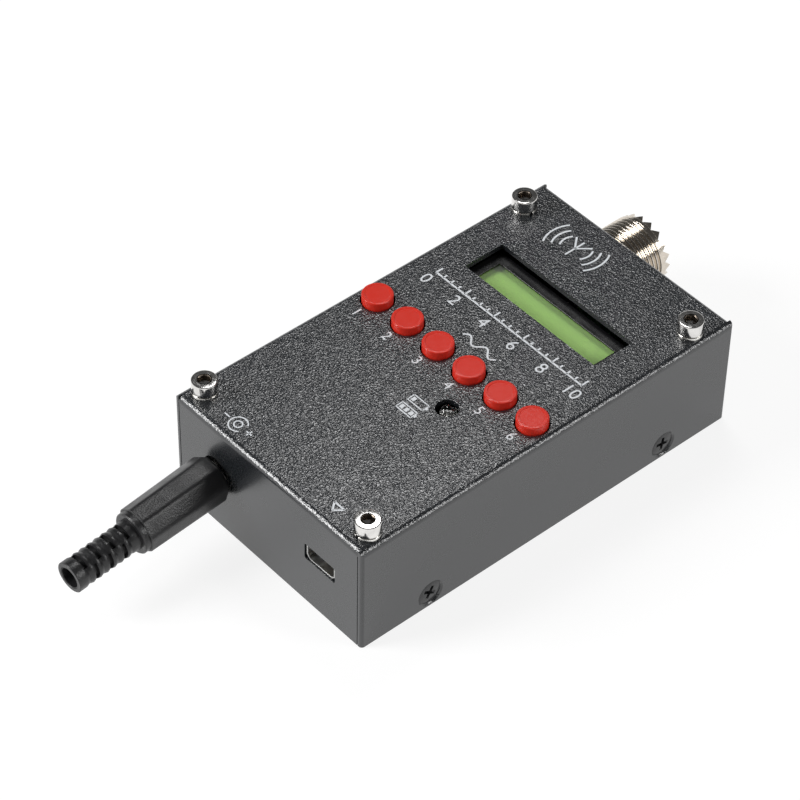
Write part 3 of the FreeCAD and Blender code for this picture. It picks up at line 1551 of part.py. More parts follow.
def make_battery():
    half = "battery_width / 2"
    top = f"{BATTERY_UNDER} + battery_height"
    body = plate_body(
        "battery_body", (f"-{half}", half), (BATTERY_FRONT, BATTERY_BACK), (BATTERY_UNDER, top)
    )

    def long_edge(edge):
        return edge.BoundBox.YLength > measure("battery_length / 2")

    dress(body, "Fillet", long_edge, Radius="battery_edge")
    keep(body, "battery_cell")
    inset = f"({half} - pad_inset)"
    pad_y = (f"{BATTERY_FRONT} + pad_inset", f"{BATTERY_BACK} - pad_inset")
    foam = block("battery_foam", (f"-{inset}", inset), pad_y, ("sheet_wall", BATTERY_UNDER))
    keep(foam, "battery_pad")

    link_back = f"({BATTERY_FRONT} - lead_run)"
    link = block(
        "battery_link",
        ("link_side - link_width / 2", "link_side + link_width / 2"),
        (f"{link_back} - link_depth", link_back),
        (f"{BOARD_UNDER} - link_height", BOARD_UNDER),
    )
    keep(link, "battery_connector")
    start = (BATTERY_FRONT, f"{BATTERY_UNDER} + lead_level")
    leads = []
    for number, side in enumerate(("-", "+"), start=1):
        x = f"link_side {side} link_width / 5"
        leads.append(rod(f"battery_lead_{number}", "lead_diameter", "lead_run", (x, *start), "-Y"))
    group = doc.addObject("Part::Compound", "battery_lead_pair")
    group.Links = leads
    keep(group, "battery_leads")


# Build every sub-part

make_top_shell()
make_bottom_cover()
make_side_screws()
make_panel_screws()
make_lock_washers()
make_standoffs()
make_board_screws()
make_main_board()
make_controller_chip()
make_synthesizer_chip()
make_crystal()
make_transformer_core()
make_display_frame()
make_display_stack()
make_display_board()
make_display_header()
for key_number in range(KEY_COUNT):
    make_key_cap(key_number)
    make_key_stem(key_number)
    make_switch_base(key_number)
make_switch_plates()
make_switch_domes()
make_lamp()
make_port()
make_jack()
make_plug_core()
make_plug_inside()
make_plug_cover()
make_coax_body()
make_coax_inside()
make_battery()
doc.recompute()

# Check every object before anything is written
failed = [item.Label for item in doc.Objects if {"Invalid", "Error"} & set(item.State)]
if failed:
    raise RuntimeError(f"objects that did not recompute: {failed}")
for node in nodes:
    if node.Shape.isNull() or not node.Shape.isValid():
        raise RuntimeError(f"{node.Label} has no valid shape")
    if not node.Shape.Solids:
        raise RuntimeError(f"{node.Label} holds no solid")

os.makedirs("parts", exist_ok=True)
for node in nodes:
    node.Shape.exportStep(f"parts/{node.Label}.step")
    print(f"{node.Label}: {len(node.Shape.Solids)} solid(s), {node.Shape.Volume:.1f} mm3")
print(f"{len(nodes)} sub-parts")
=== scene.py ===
import json
import math

import bmesh
import bpy
import numpy as np
from mathutils import Matrix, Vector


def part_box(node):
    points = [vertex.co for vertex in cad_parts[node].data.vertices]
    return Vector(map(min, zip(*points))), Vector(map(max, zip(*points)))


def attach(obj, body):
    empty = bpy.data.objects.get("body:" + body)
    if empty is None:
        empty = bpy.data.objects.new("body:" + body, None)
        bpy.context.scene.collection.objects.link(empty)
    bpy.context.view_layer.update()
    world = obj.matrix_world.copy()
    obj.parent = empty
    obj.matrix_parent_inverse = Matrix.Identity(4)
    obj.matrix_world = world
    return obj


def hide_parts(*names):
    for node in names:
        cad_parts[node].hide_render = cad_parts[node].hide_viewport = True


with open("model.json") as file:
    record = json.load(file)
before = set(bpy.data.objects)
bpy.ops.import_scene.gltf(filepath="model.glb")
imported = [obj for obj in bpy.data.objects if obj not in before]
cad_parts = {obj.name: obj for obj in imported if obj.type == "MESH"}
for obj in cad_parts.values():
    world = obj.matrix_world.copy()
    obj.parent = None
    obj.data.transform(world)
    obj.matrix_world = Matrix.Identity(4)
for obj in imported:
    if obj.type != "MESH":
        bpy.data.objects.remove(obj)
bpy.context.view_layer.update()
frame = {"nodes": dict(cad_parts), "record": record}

bl_info = {
    "name": "Antenna analyzer dress",
    "version": (1, 0, 0),
    "blender": (4, 5, 0),
    "location": "View3D > Sidebar > Analyzer",
    "description": "Finishes, marks, fine shapes, light and camera for a pocket antenna analyzer",
    "category": "Object",
}

# Sizes are in metres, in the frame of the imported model
MM = 0.001
RECORD = frame["record"]
NODES = frame["nodes"]
BODY_OF = {node: body for body, names in RECORD["behaviour"]["bodies"].items() for node in names}
MOUNTS = {mount["name"]: mount for mount in RECORD["mounts"]}
JOINTS = {joint["name"]: joint for joint in RECORD["behaviour"]["joints"]}

SHELL_HIGH = np.array(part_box("top_shell")[1])
PANEL = SHELL_HIGH[2]
# Thickness of the folded sheet and of the ink, and the distance under which points are one
SHEET, INK, WELD = 1.2 * MM, 0.03 * MM, 1e-7
KEYS = range(1, 7)
UP = np.array([0.0, 0.0, 1.0])

# The plug's strain relief: outer and inner radius, the cord's radius, and both ends of it
TAIL, TAIL_BORE, CORD = 3.45 * MM, 2.45 * MM, 2.3 * MM
TAIL_START, TAIL_END = 27.4 * MM, 43.2 * MM


# Arrays: frames, profiles and grids


def node_box(name):
    """Lowest and highest corner of a CAD node."""
    return [np.array(corner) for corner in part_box(name)]


def unit(vector):
    """The vector divided by its length."""
    return np.asarray(vector, float) / np.linalg.norm(vector)


def upright(x, y, z):
    """A frame at a point, with its axes along those of the object."""
    return np.array([x, y, z]), np.eye(3)


def standing(low, high):
    """An upright frame in the middle of a box's underside."""
    return upright((low[0] + high[0]) / 2, (low[1] + high[1]) / 2, low[2])


def facing(origin, along, level):
    """A frame whose Z axis is along one direction and whose X axis is along another."""
    return np.array(origin), np.array([level, np.cross(along, level), along])


def plug_frame():
    """The plug's frame: Z along its axis out of the jack, X level, origin at the joint."""
    joint = JOINTS["cover_turn"]
    along = unit(joint["axis"])
    return facing(joint["pos_m"], along, unit(np.cross(UP, along)))


def coaxial_frame():
    """The coaxial socket's frame: Z along +Y, origin on its axis at the back wall's inner face."""
    centre = MOUNTS["coax_thread"]["pos_m"]
    origin = np.array([centre[0], SHELL_HIGH[1] - SHEET, centre[2]])
    return origin, np.array([[1.0, 0.0, 0.0], [0.0, 0.0, -1.0], [0.0, 1.0, 0.0]])


def carried(points, place):
    """Local points taken to the object's frame: origin + x X + y Y + z Z."""
    origin, axes = place
    return origin + points @ axes


def turned_about(place, angle):
    """A frame turned about its own Z axis."""
    origin, axes = place
    c, s = math.cos(angle), math.sin(angle)
    return origin, np.array([[c, s, 0.0], [-s, c, 0.0], [0.0, 0.0, 1.0]]) @ axes


def softened(points, radius, steps=5):
    """An open profile whose inner corners are quadratic curves: (1-t)^2 A + 2t(1-t) P + t^2 B.

    A and B lie on the two sides of a corner P, at the radius or at 0.45 of a shorter side.
    """
    points = np.asarray(points, float)
    before = np.roll(points, 1, axis=0) - points
    after = np.roll(points, -1, axis=0) - points
    sides = [np.linalg.norm(side, axis=1, keepdims=True) for side in (before, after)]
    reach = np.minimum(radius, 0.45 * np.minimum(*sides))
    reach[[0, -1]] = 0.0
    start = points + before / sides[0] * reach
    end = points + after / sides[1] * reach
    t = np.linspace(0.0, 1.0, steps)[:, None, None]
    curve = (1 - t) ** 2 * start + 2 * t * (1 - t) * points + t**2 * end
    return curve.transpose(1, 0, 2).reshape(-1, 2)


def smoothstep(value):
    """3 v^2 - 2 v^3, with v held between 0 and 1."""
    value = np.clip(value, 0.0, 1.0)
    return value * value * (3.0 - 2.0 * value)


def zigzag(phase):
    """A wave from 1 at whole phases down to 0 halfway and back, in straight lines."""
    return np.abs(2.0 * (phase % 1.0) - 1.0)


def angles(columns):
    """Even angles once round an axis: 2 pi j / n."""
    return np.arange(columns) * 2 * math.pi / columns


def ring_points(radius, height, columns):
    """A grid round the Z axis: row i, column j lies at radius[i, j], height[i, j], angle 2 pi j / n."""
    angle = angles(columns)
    sides = np.broadcast_arrays(radius * np.cos(angle), radius * np.sin(angle), height)
    return np.stack(sides, axis=-1)


def grid_faces(rows, columns, closed=False):
    """Four-cornered faces between neighbours of a grid, whose columns close on themselves."""
    i, j = np.indices((rows if closed else rows - 1, columns)).reshape(2, -1)
    below, beside = (i + 1) % rows, (j + 1) % columns
    corners = [i * columns + j, i * columns + beside, below * columns + beside, below * columns + j]
    return np.stack(corners, axis=-1).tolist()


def turned(rows, columns, place, closed=False):
    """Rows of (radius, height) carried round a frame's Z axis. Either may change with the angle.

    A closed profile joins its last row to its first.
    """
    radius = np.array([np.broadcast_to(radius, columns) for radius, height in rows])
    height = np.array([np.broadcast_to(height, columns) for radius, height in rows])
    points = carried(ring_points(radius, height, columns), place)
    return points, grid_faces(len(rows), columns, closed)


def joined(shapes):
    """Several (points, faces) pairs as one pair."""
    points, faces, first = [], [], 0
    for spots, corners in shapes:
        spots = np.reshape(spots, (-1, 3))
        points.append(spots)
        faces += [[first + corner for corner in face] for face in corners]
        first += len(spots)
    return np.concatenate(points), faces


def brick(low, high):
    """The eight corners and six faces of a box."""
    corners = np.array(np.meshgrid([0, 1], [0, 1], [0, 1], indexing="ij")).reshape(3, 8).T
    points = np.asarray(low) + corners * (np.asarray(high) - np.asarray(low))
    faces = [[0, 1, 3, 2], [4, 6, 7, 5], [0, 4, 5, 1], [2, 3, 7, 6], [0, 2, 6, 4], [1, 5, 7, 3]]
    return points, faces


# Meshes and pieces


def smooth_between(mesh, sharp):
    """Smooth shading, except over edges sharper than the angle in degrees."""
    mesh.shade_smooth()
    mesh.set_sharp_from_angle(angle=math.radians(sharp))


def new_mesh(name, shape, sharp):
    """A welded mesh of a (points, faces) pair, with its faces outwards."""
    points, faces = shape
    mesh = bpy.data.meshes.new(name)
    mesh.from_pydata(np.reshape(points, (-1, 3)).tolist(), [], faces)
    form = bmesh.new()
    form.from_mesh(mesh)
    bmesh.ops.remove_doubles(form, verts=form.verts, dist=WELD)
    bmesh.ops.dissolve_degenerate(form, edges=form.edges, dist=WELD)
    bmesh.ops.recalc_face_normals(form, faces=form.faces)
    form.to_mesh(mesh)
    form.free()
    smooth_between(mesh, sharp)
    return mesh


def new_piece(name, mesh, body, slot, material, *replaced):
    """An object that rides a body, wears a material, and may stand for CAD nodes. Its slot is not used.
    """
    piece = bpy.data.objects.new(name, mesh)
    bpy.context.scene.collection.objects.link(piece)
    mesh.materials.clear()
    mesh.materials.append(material)
    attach(piece, body)
    if replaced:
        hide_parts(*replaced)
    return piece


def soften_edges(piece, width, sharp=45):
    """A live bevel on the edges sharper than the angle in degrees, with large faces shaded flat."""
    bevel = piece.modifiers.new("soft_edges", "BEVEL")
    bevel.width = width
    bevel.segments = 2
    bevel.limit_method = "ANGLE"
    bevel.angle_limit = math.radians(sharp)
    flat = piece.modifiers.new("flat_faces", "WEIGHTED_NORMAL")
    flat.keep_sharp = True
    flat.weight = 100


def softened_copy(name, node, slot, material, width):
    """A welded copy of a node's mesh, its flats made whole and its edges softened."""
    mesh = NODES[node].data.copy()
    weld, flat = 2e-6, math.radians(0.2)
    form = bmesh.new()
    form.from_mesh(mesh)
    bmesh.ops.remove_doubles(form, verts=form.verts, dist=weld)
    bmesh.ops.dissolve_limit(form, angle_limit=flat, verts=form.verts, edges=form.edges)
    form.to_mesh(mesh)
    form.free()
    smooth_between(mesh, sharp=30)
    piece = new_piece(name, mesh, BODY_OF[node], slot, material, node)
    soften_edges(piece, width)


def dress(material, *names):
    """Give CAD nodes a material."""
    for name in names:
        node = NODES[name]
        if not node.material_slots:
            node.data.materials.append(material)
        for slot in node.material_slots:
            slot.material = material


# Materials: nodes read Object coordinates, and plain values stand on the shader's own sockets


def shader_node(tree, kind, inputs=None, **settings):
    """A node with its settings, its inputs set to plain values or joined to outputs."""
    node = tree.nodes.new(kind)
    for name, value in settings.items():
        setattr(node, name, value)
    for name, value in (inputs or {}).items():
        if isinstance(value, bpy.types.NodeSocket):
            tree.links.new(value, node.inputs[name])
        else:
            node.inputs[name].default_value = value
    return node


def new_finish(name, colour, **values):
    """A material with a plain colour and plain values, to which patterns are added."""
    material = bpy.data.materials.new(name)
    material.use_nodes = True
    tree = material.node_tree
    shader = tree.nodes["Principled BSDF"]
    shader.inputs["Base Color"].default_value = (*colour[:3], 1.0)
    for key, value in values.items():
        shader.inputs[key.replace("_", " ")].default_value = value
    material.diffuse_color = (*colour[:3], 1.0)
    return material, tree, shader


def patterned(tree, shader, tone=None, rough=None):
    """Join outputs to the shader's colour and roughness."""
    for value, socket in ((tone, "Base Color"), (rough, "Roughness")):
        if value is not None:
            tree.links.new(value, shader.inputs[socket])


def object_place(tree, stretch=(1.0, 1.0, 1.0)):
    """The object's coordinates, stretched."""
    place = shader_node(tree, "ShaderNodeTexCoord").outputs["Object"]
    if tuple(stretch) != (1.0, 1.0, 1.0):
        inputs = {"Vector": place, "Scale": stretch}
        place = shader_node(tree, "ShaderNodeMapping", inputs).outputs["Vector"]
    return place


def noise(tree, size, detail=2.0, distortion=0.0, place=None):
    """A noise whose patches are about the given size in metres."""
    inputs = {
        "Vector": place or object_place(tree),
        "Scale": 1.0 / size,
        "Detail": detail,
        "Distortion": distortion,
    }
    return shader_node(tree, "ShaderNodeTexNoise", inputs).outputs["Fac"]


def between(tree, value, low, high, start=0.3, end=0.7):
    """A value from start to end carried to low to high."""
    inputs = {"Value": value, "From Min": start, "From Max": end, "To Min": low, "To Max": high}
    return shader_node(tree, "ShaderNodeMapRange", inputs).outputs["Result"]


def colour_between(tree, value, dark, light, start=0.3, end=0.7):
    """A value from start to end carried to two colours."""
    ramp = shader_node(tree, "ShaderNodeValToRGB", {"Fac": value})
    for stop, position, colour in zip(ramp.color_ramp.elements, (start, end), (dark, light)):
        stop.position = position
        stop.color = (*colour[:3], 1.0)
    return ramp.outputs["Color"]


def tinted(colour, factor):
    """A colour times a factor, at most 1 in each channel."""
    return tuple(min(1.0, channel * factor) for channel in colour[:3])


def bumped(tree, shader, height, distance, strength=1.0):
    """A bump of the given height in metres; strength may be an output."""
    inputs = {"Height": height, "Distance": distance, "Strength": strength}
    normal = shader_node(tree, "ShaderNodeBump", inputs).outputs["Normal"]
    tree.links.new(normal, shader.inputs["Normal"])


def wrinkle_paint(name, finish):
    """Black powder paint with a grain that is coarse on top and faint on the walls.

    The grain is a distorted noise. Its crests stand out and shine more, fully
    where the surface faces up and little where it stands upright. Light is painted on the
    grain there too: the crests are painted paler as a painted highlight and the valleys darker
    as painted shade, so the top's colour is also paler than the walls'. The tone wanders over
    a centimetre or two.
    """
    material, tree, shader = new_finish(
        name, finish.paint, Roughness=finish.gloss, Specular_IOR_Level=finish.sheen
    )
    normal = shader_node(tree, "ShaderNodeNewGeometry").outputs["Normal"]
    upward = shader_node(tree, "ShaderNodeSeparateXYZ", {"Vector": normal}).outputs["Z"]
    strength = between(tree, upward, low=0.07, high=1.0, start=0.2, end=0.95)
    grain = noise(tree, finish.grain_size, detail=0.0, distortion=0.8)
    bumped(tree, shader, grain, finish.grain_depth, strength)
    # Painted highlight and painted shade: the grain's crests get a paler colour and its valleys a
    # darker one, mostly on the top, in place of light and shade on the bumps
    crest = between(tree, grain, low=0.0, high=1.0, start=0.4, end=0.68)
    patches = between(tree, noise(tree, 14 * MM), low=0.0, high=0.12)
    inputs = {0: crest, 1: strength, 2: patches}
    shown = shader_node(tree, "ShaderNodeMath", inputs, operation="MULTIPLY_ADD").outputs[0]
    dark, light = tinted(finish.paint, 0.7), tinted(finish.paint, finish.crest)
    patterned(
        tree,
        shader,
        tone=colour_between(tree, shown, dark, light, start=0.0, end=1.0),
        rough=between(tree, shown, finish.gloss + 0.07, finish.gloss - 0.05, start=0.0, end=1.0),
    )
    return material


def moulded_plastic(name, colour, roughness=0.45, grain=0.12 * MM, depth=0.006 * MM):
    """Moulded plastic: a fine even grain and a slight change of tone."""
    material, tree, shader = new_finish(name, colour, Roughness=roughness)
    patterned(
        tree,
        shader,
        tone=colour_between(tree, noise(tree, 2 * MM), tinted(colour, 0.88), tinted(colour, 1.1)),
        rough=between(tree, noise(tree, 3 * MM), roughness - 0.06, roughness + 0.08),
    )
    bumped(tree, shader, noise(tree, grain, detail=1.0), depth)
    return material


def worked_metal(name, colour, roughness, streak=(1.0, 1.0, 1.0), size=0.4 * MM):
    """Plated or turned metal: streaks along or across, a smudged gloss and darker stains."""
    material, tree, shader = new_finish(name, colour, Metallic=1.0, Roughness=roughness)
    streaks = noise(tree, size, detail=3.0, place=object_place(tree, streak))
    stains = noise(tree, 2.5 * MM, detail=4.0, distortion=0.5)
    dark, light = tinted(colour, 0.86), tinted(colour, 1.05)
    patterned(
        tree,
        shader,
        tone=colour_between(tree, stains, dark, light, start=0.25, end=0.6),
        rough=between(tree, streaks, roughness * 0.7, roughness * 1.5),
    )
    bumped(tree, shader, streaks, distance=0.004 * MM)
    return material


def board_lacquer(name):
    """Green solder lacquer over a maze of copper tracks that stand 0.03 mm proud."""
    cell, proud = 1.6 * MM, 0.03 * MM
    material, tree, shader = new_finish(name, (0.02, 0.11, 0.045), Roughness=0.25, Coat_Weight=0.3)
    inputs = {"Vector": object_place(tree), "Scale": 1.0 / cell, "Randomness": 0.35}
    maze = shader_node(
        tree, "ShaderNodeTexVoronoi", inputs, distance="MANHATTAN", feature="F1"
    ).outputs["Distance"]
    tracks = between(tree, maze, low=0.0, high=1.0, start=0.42, end=0.5)
    gap, track = (0.018, 0.09, 0.038), (0.035, 0.17, 0.07)
    patterned(tree, shader, colour_between(tree, tracks, gap, track, start=0.0, end=1.0))
    bumped(tree, shader, tracks, proud)
    return material


def clear_material(name, colour, roughness, alpha=1.0, transmission=1.0):
    """Clear plastic or glass with a faint unevenness of its gloss."""
    material, tree, shader = new_finish(
        name, colour, Transmission_Weight=transmission, IOR=1.49, Alpha=alpha
    )
    rough = between(tree, noise(tree, 3 * MM), roughness, roughness + 0.05)
    patterned(tree, shader, rough=rough)
    return material


# Shapes


def hexagon_radius(angle, flats):
    """Distance from the middle to a hexagon's side: half the flats over cos(angle from the side)."""
    sector = math.pi / 3
    return flats / 2 / np.cos((angle + sector / 2) % sector - sector / 2)


def cross_radius(angle, length, width):
    """Distance from the middle to the outline of a cross: the farther of its two arms."""
    c, s = np.abs(np.cos(angle)) + 1e-9, np.abs(np.sin(angle)) + 1e-9
    level = np.minimum(length / 2 / c, width / 2 / s)
    tall = np.minimum(length / 2 / s, width / 2 / c)
    return np.maximum(level, tall)


def polygon_radius(angle, flats, sides, turn, power=26.0):
    """A polygon with rounded edges: 1/r is the p-norm of cos(angle - side) * 2 / flats."""
    normals = turn + (np.arange(sides) + 0.5) * 2 * math.pi / sides
    lean = np.maximum(np.cos(angle[None, :] - normals[:, None]), 0.0)
    return flats / 2 / (lean**power).sum(axis=0) ** (1.0 / power)


def shank_rows(shank, length, chamfer=0.3 * MM):
    """A screw's end as rows of (radius, height): flat, then a chamfer out to the shank."""
    return [(0.0, -length), (shank - chamfer, -length), (shank, -length + chamfer)]


def socket_screw(place, head, height, shank, length, socket, depth, edge):
    """A socket head screw, turned from rows of (radius, height).

    In the recess the radius follows a hexagon, widened at the top to a round countersink, and
    the floor is a cone.
    """
    columns, lead, cone, tip = 96, 0.25 * MM, 0.35 * MM, 0.55 * MM
    recess = hexagon_radius(angles(columns), socket)
    countersink, land, middle = socket * 0.62, head * 0.5, recess * 0.3
    floor = height - depth
    side = softened([(shank, 0.0), (head, 0.0), (head, height), (land, height)], edge)
    rows = shank_rows(shank, length) + list(side[:-1])
    rows += [(np.maximum(recess, countersink), height), (recess, height - lead)]
    rows += [(recess, floor), (middle, floor - cone), (0.0, floor - tip)]
    return turned(rows, columns, place)


def countersunk_screw(place, head, shank, length, cross, width, depth):
    """A flat head screw, turned from rows of (radius, height).

    In the recess the radius follows a cross, which narrows down to a point.
    """
    columns, bevel, rim, land = 96, 0.12 * MM, 0.05 * MM, 0.1 * MM
    angle = angles(columns)
    shoulder, floor_cross, floor_width = depth * 0.85, cross * 0.45, width * 0.7
    floor = cross_radius(angle, floor_cross, floor_width)
    rows = shank_rows(shank, length)
    rows += [(shank, shank - head), (head - bevel, -bevel), (head, -rim), (head - land, 0.0)]
    rows += [(cross_radius(angle, cross, width), 0.0), (floor, -shoulder), (0.0, -depth)]
    return turned(rows, columns, place)


def split_washer(place, outer, bore, height, slit):
    """A lock washer: a rounded square section carried round from one side of a slit to the other."""
    steps = 72
    half, middle = (outer - bore) / 4, (outer + bore) / 4
    corner = min(half, height / 2) * 0.3
    box = [(-half, 0), (half, 0), (half, height), (-half, height)]
    section = softened(box + box[:2], corner, 3)[3:-3]
    count = len(section)
    gap = slit / 2 / middle
    angle = (np.linspace(gap, 2 * math.pi - gap, steps) - math.pi / 2)[:, None]
    radius = middle + section[None, :, 0]
    level = np.broadcast_to(section[None, :, 1], (steps, count))
    points = np.stack([radius * np.cos(angle), radius * np.sin(angle), level], axis=-1)
    faces = grid_faces(steps, count)
    faces += [list(range(count)), list(range((steps - 1) * count, steps * count))]
    return carried(points.reshape(-1, 3), place), faces


def coaxial_shape(finish):
    """The coaxial socket as one closed surface round its axis.

    The thread is a helix: radius = crest - depth * groove(z / pitch - angle / 2 pi), with
    the depth fading out at both ends. The rim's height follows a wave in straight lines.
    """
    steps_in_tooth, thread_rows = 12, 190
    columns = finish.teeth * steps_in_tooth
    turn = angles(columns) / (2 * math.pi)
    crest, edge, chamfer = finish.thread / 2, 0.15 * MM, 0.1 * MM
    root = SHEET + finish.reach - finish.tooth
    start = SHEET + 0.4 * MM
    level = np.linspace(start, root - edge, thread_rows)[:, None]
    first, fade_in = start + 0.2 * MM, 0.3 * MM
    last, fade_out = root - 1.3 * MM, 0.4 * MM
    fade = smoothstep((level - first) / fade_in) * smoothstep((last + fade_out - level) / fade_out)
    steep, flat = 1.15, 0.05
    groove = 1.0 - smoothstep(steep * zigzag(level / finish.pitch - turn) - flat)
    thread = crest - finish.groove * fade * groove
    rim = root + finish.tooth * zigzag(finish.teeth * turn)
    neck, flange, seat, bore = 6.0 * MM, 9.2 * MM, 6.3 * MM, 6.5 * MM
    mouth, lip, spigot, relief = 6.8 * MM, 7.7 * MM, 3.5 * MM, 7.5 * MM
    behind, end, face = -2.4 * MM, -4.4 * MM, 9.1 * MM
    rows = [(relief, 0.0), (relief, start), (crest - chamfer, start)]
    rows += list(zip(thread, np.broadcast_to(level, thread.shape)))
    rows += [(crest - edge, root), (lip, root), (lip, rim), (mouth, rim), (mouth, root)]
    rows += [(bore, root), (bore, face), (seat, face), (seat, 0.0), (spigot, 0.0), (spigot, end)]
    rows += [(neck, end), (neck, behind), (flange, behind), (flange, 0.0)]
    return turned(rows, columns, coaxial_frame(), closed=True)


def coaxial_legs():
    """Four solder legs behind the neck, over and under the board."""
    low, high = node_box("main_board")
    side = MOUNTS["coax_thread"]["pos_m"][0]
    near, width, thick, lap = 3.9 * MM, 2.2 * MM, 1.2 * MM, 4 * MM
    back = SHELL_HIGH[1] - SHEET - 2.4 * MM
    legs = []
    for sign in (-1, 1):
        across = sorted([side + sign * near, side + sign * (near + width)])
        for floor in (high[2], low[2] - thick):
            corner = (across[0], high[1] - lap, floor)
            legs.append(brick(corner, (across[1], back, floor + thick)))
    return legs


def cover_stations(finish, angle):
    """Heights of the plug cover's rows, with outer and inner radius of each, and the slots' tops.

    Two rows at one height make a step. Rows of the strain relief lie at the slots' edges and
    middles, where it is waisted, and on the rings between them.
    """
    front, shoulder, back, inside = 5.5 * MM, 6.7 * MM, 25.9 * MM, 24.4 * MM
    wide, neck = 4.08 * MM, 4.65 * MM
    edge, flare, corner, step = 0.15 * MM, 0.1 * MM, 0.25 * MM, 0.2 * MM
    grip_rows, slots_in_line = 8, 4

    def grip(flats):
        return polygon_radius(angle, flats, finish.sides, finish.turn)

    rows = [(front, grip(finish.mouth) - corner, wide + edge)]
    rows.append((front + edge, grip(finish.mouth), wide))
    for height in np.linspace(shoulder, back, grip_rows):
        part = (height - shoulder) / (back - shoulder)
        flats = finish.near + (finish.far - finish.near) * part
        rows.append((height, grip(flats), wide if height < inside else CORD))
    rows.append((back + edge, grip(finish.far) - step, CORD))
    rows += [(back + edge, neck, CORD), (TAIL_START - corner, neck, CORD)]
    rows += [(TAIL_START, neck - corner, CORD), (TAIL_START, TAIL, TAIL_BORE)]
    tops = TAIL_END - finish.slot_end - finish.slot_pitch * np.arange(slots_in_line)
    shifted = tops[:-1] - finish.slot_pitch / 2
    middles = np.sort(np.concatenate([tops, shifted])) - finish.slot_width / 2
    offsets = np.array([-finish.slot_width / 2, 0.0, finish.slot_width / 2, finish.slot_pitch / 4])
    drops = np.array([0.4, 1.0, 0.4, 0.0]) * finish.waist
    for middle in middles:
        rows += [(middle + offset, TAIL - drop, TAIL_BORE) for offset, drop in zip(offsets, drops)]
    rows += [(TAIL_END - edge, TAIL, TAIL_BORE), (TAIL_END, TAIL - edge, TAIL_BORE + flare)]
    return rows, tops, shifted


def cover_shape(finish):
    """The plug's cover: a grid of angle by length whose slot cells are left out.

    Every other cell has an outer and an inner face, and walls close it wherever its
    neighbour is left out or the cover ends. One set of slots faces the plug's Y axis and the
    set between them faces its X axis.
    """
    columns = 144
    rows, tops, shifted = cover_stations(finish, angles(columns))
    height = np.array([z for z, outer, inner in rows])[:, None]
    outer = np.array([np.broadcast_to(radius, columns) for z, radius, inner in rows])
    inner = np.array([np.broadcast_to(radius, columns) for z, outside, radius in rows])
    points = np.concatenate([ring_points(side, height, columns) for side in (outer, inner)])

    middle = (height[:-1, 0] + height[1:, 0]) / 2
    centre = angles(columns) + math.pi / columns
    half = math.asin(finish.slot_reach / 2 / TAIL)
    from_y = np.abs(np.abs((centre % (2 * math.pi)) - math.pi) - math.pi / 2)
    from_x = np.abs(from_y - math.pi / 2)
    slotted = np.zeros((len(rows) - 1, columns), bool)
    for slots, away in ((tops, from_y), (shifted, from_x)):
        below = slots[:, None] - finish.slot_width
        slotted |= np.outer(((middle > below) & (middle < slots[:, None])).any(axis=0), away < half)

    solid = ~slotted
    i, j = np.nonzero(solid)
    shift = len(rows) * columns
    beside = (j + 1) % columns
    a, b = i * columns + j, i * columns + beside
    c, d = b + columns, a + columns
    faces = [np.stack([a, b, c, d], -1), shift + np.stack([d, c, b, a], -1)]
    ends = np.ones((1, columns), bool)
    walls = (
        (b, c, ~np.roll(solid, -1, axis=1)),
        (d, a, ~np.roll(solid, 1, axis=1)),
        (c, d, np.vstack([slotted[1:], ends])),
        (a, b, np.vstack([ends, slotted[:-1]])),
    )
    for start, end, wanted in walls:
        first, last = start[wanted[i, j]], end[wanted[i, j]]
        faces.append(np.stack([last, first, shift + first, shift + last], -1))
    return carried(points.reshape(-1, 3), plug_frame()), np.concatenate(faces).tolist()


def ribbon(path, width, base):
    """A flat stroke of ink along a path: points + and - half the width along the path's normal."""
    path = np.asarray(path, float)
    along = np.gradient(path, axis=0)
    along /= np.linalg.norm(along, axis=1, keepdims=True)
    normal = np.stack([-along[:, 1], along[:, 0]], axis=-1)
    left, right = path + normal * width / 2, path - normal * width / 2
    count = len(path)
    corners = [(left, base), (right, base), (right, base + INK), (left, base + INK)]
    points = np.stack([np.column_stack([side, np.full(count, z)]) for side, z in corners], axis=1)
    faces = grid_faces(count, 4)
    faces += [[0, 1, 2, 3], [4 * count - 1, 4 * count - 2, 4 * count - 3, 4 * count - 4]]
    return points.reshape(-1, 3), faces


def arc(centre, radius, start, end, steps=32):
    """Points on a circle from one angle to another, in degrees: centre + radius (cos, sin)."""
    angle = np.linspace(math.radians(start), math.radians(end), steps)
    return np.stack([centre[0] + radius * np.cos(angle), centre[1] + radius * np.sin(angle)], -1)


def number_shape(text, height, x, y, base):
    """Plain figures as a thin solid, centred on a point."""
    size_over_height = 1.42
    curve = bpy.data.curves.new("figure_outline", "FONT")
    curve.body = text
    curve.size = height * size_over_height
    curve.align_x = "CENTER"
    curve.align_y = "CENTER"
    curve.resolution_u = 4
    curve.extrude = INK / 2
    holder = bpy.data.objects.new("figure_holder", curve)
    bpy.context.scene.collection.objects.link(holder)
    shown = holder.evaluated_get(bpy.context.evaluated_depsgraph_get())
    mesh = bpy.data.meshes.new_from_object(shown)
    points = np.empty(len(mesh.vertices) * 3)
    mesh.vertices.foreach_get("co", points)
    faces = [list(face.vertices) for face in mesh.polygons]
    bpy.data.objects.remove(holder)
    bpy.data.curves.remove(curve)
    bpy.data.meshes.remove(mesh)
    return points.reshape(-1, 3) + (x, y, base + INK / 2), faces


# Property groups, and one function for each kind of property


def value(name, description, default, **settings):
    return bpy.props.FloatProperty(name=name, description=description, default=default, **settings)


def millimetres(name, description, default):
    return value(name, description, default * MM, unit="LENGTH", precision=5)


def degrees(name, description, default):
    return value(name, description, math.radians(default), subtype="ANGLE")


def watts(name, description, default):
    return value(name, description, default, unit="POWER")


def fraction(name, description, default):
    return value(name, description, default, subtype="FACTOR", min=0.0, max=1.0)


def shade(name, description, default):
    return bpy.props.FloatVectorProperty(
        name=name, description=description, default=default, subtype="COLOR", min=0.0, max=1.0
    )


def count_of(name, description, default):
    return bpy.props.IntProperty(name=name, description=description, default=default)


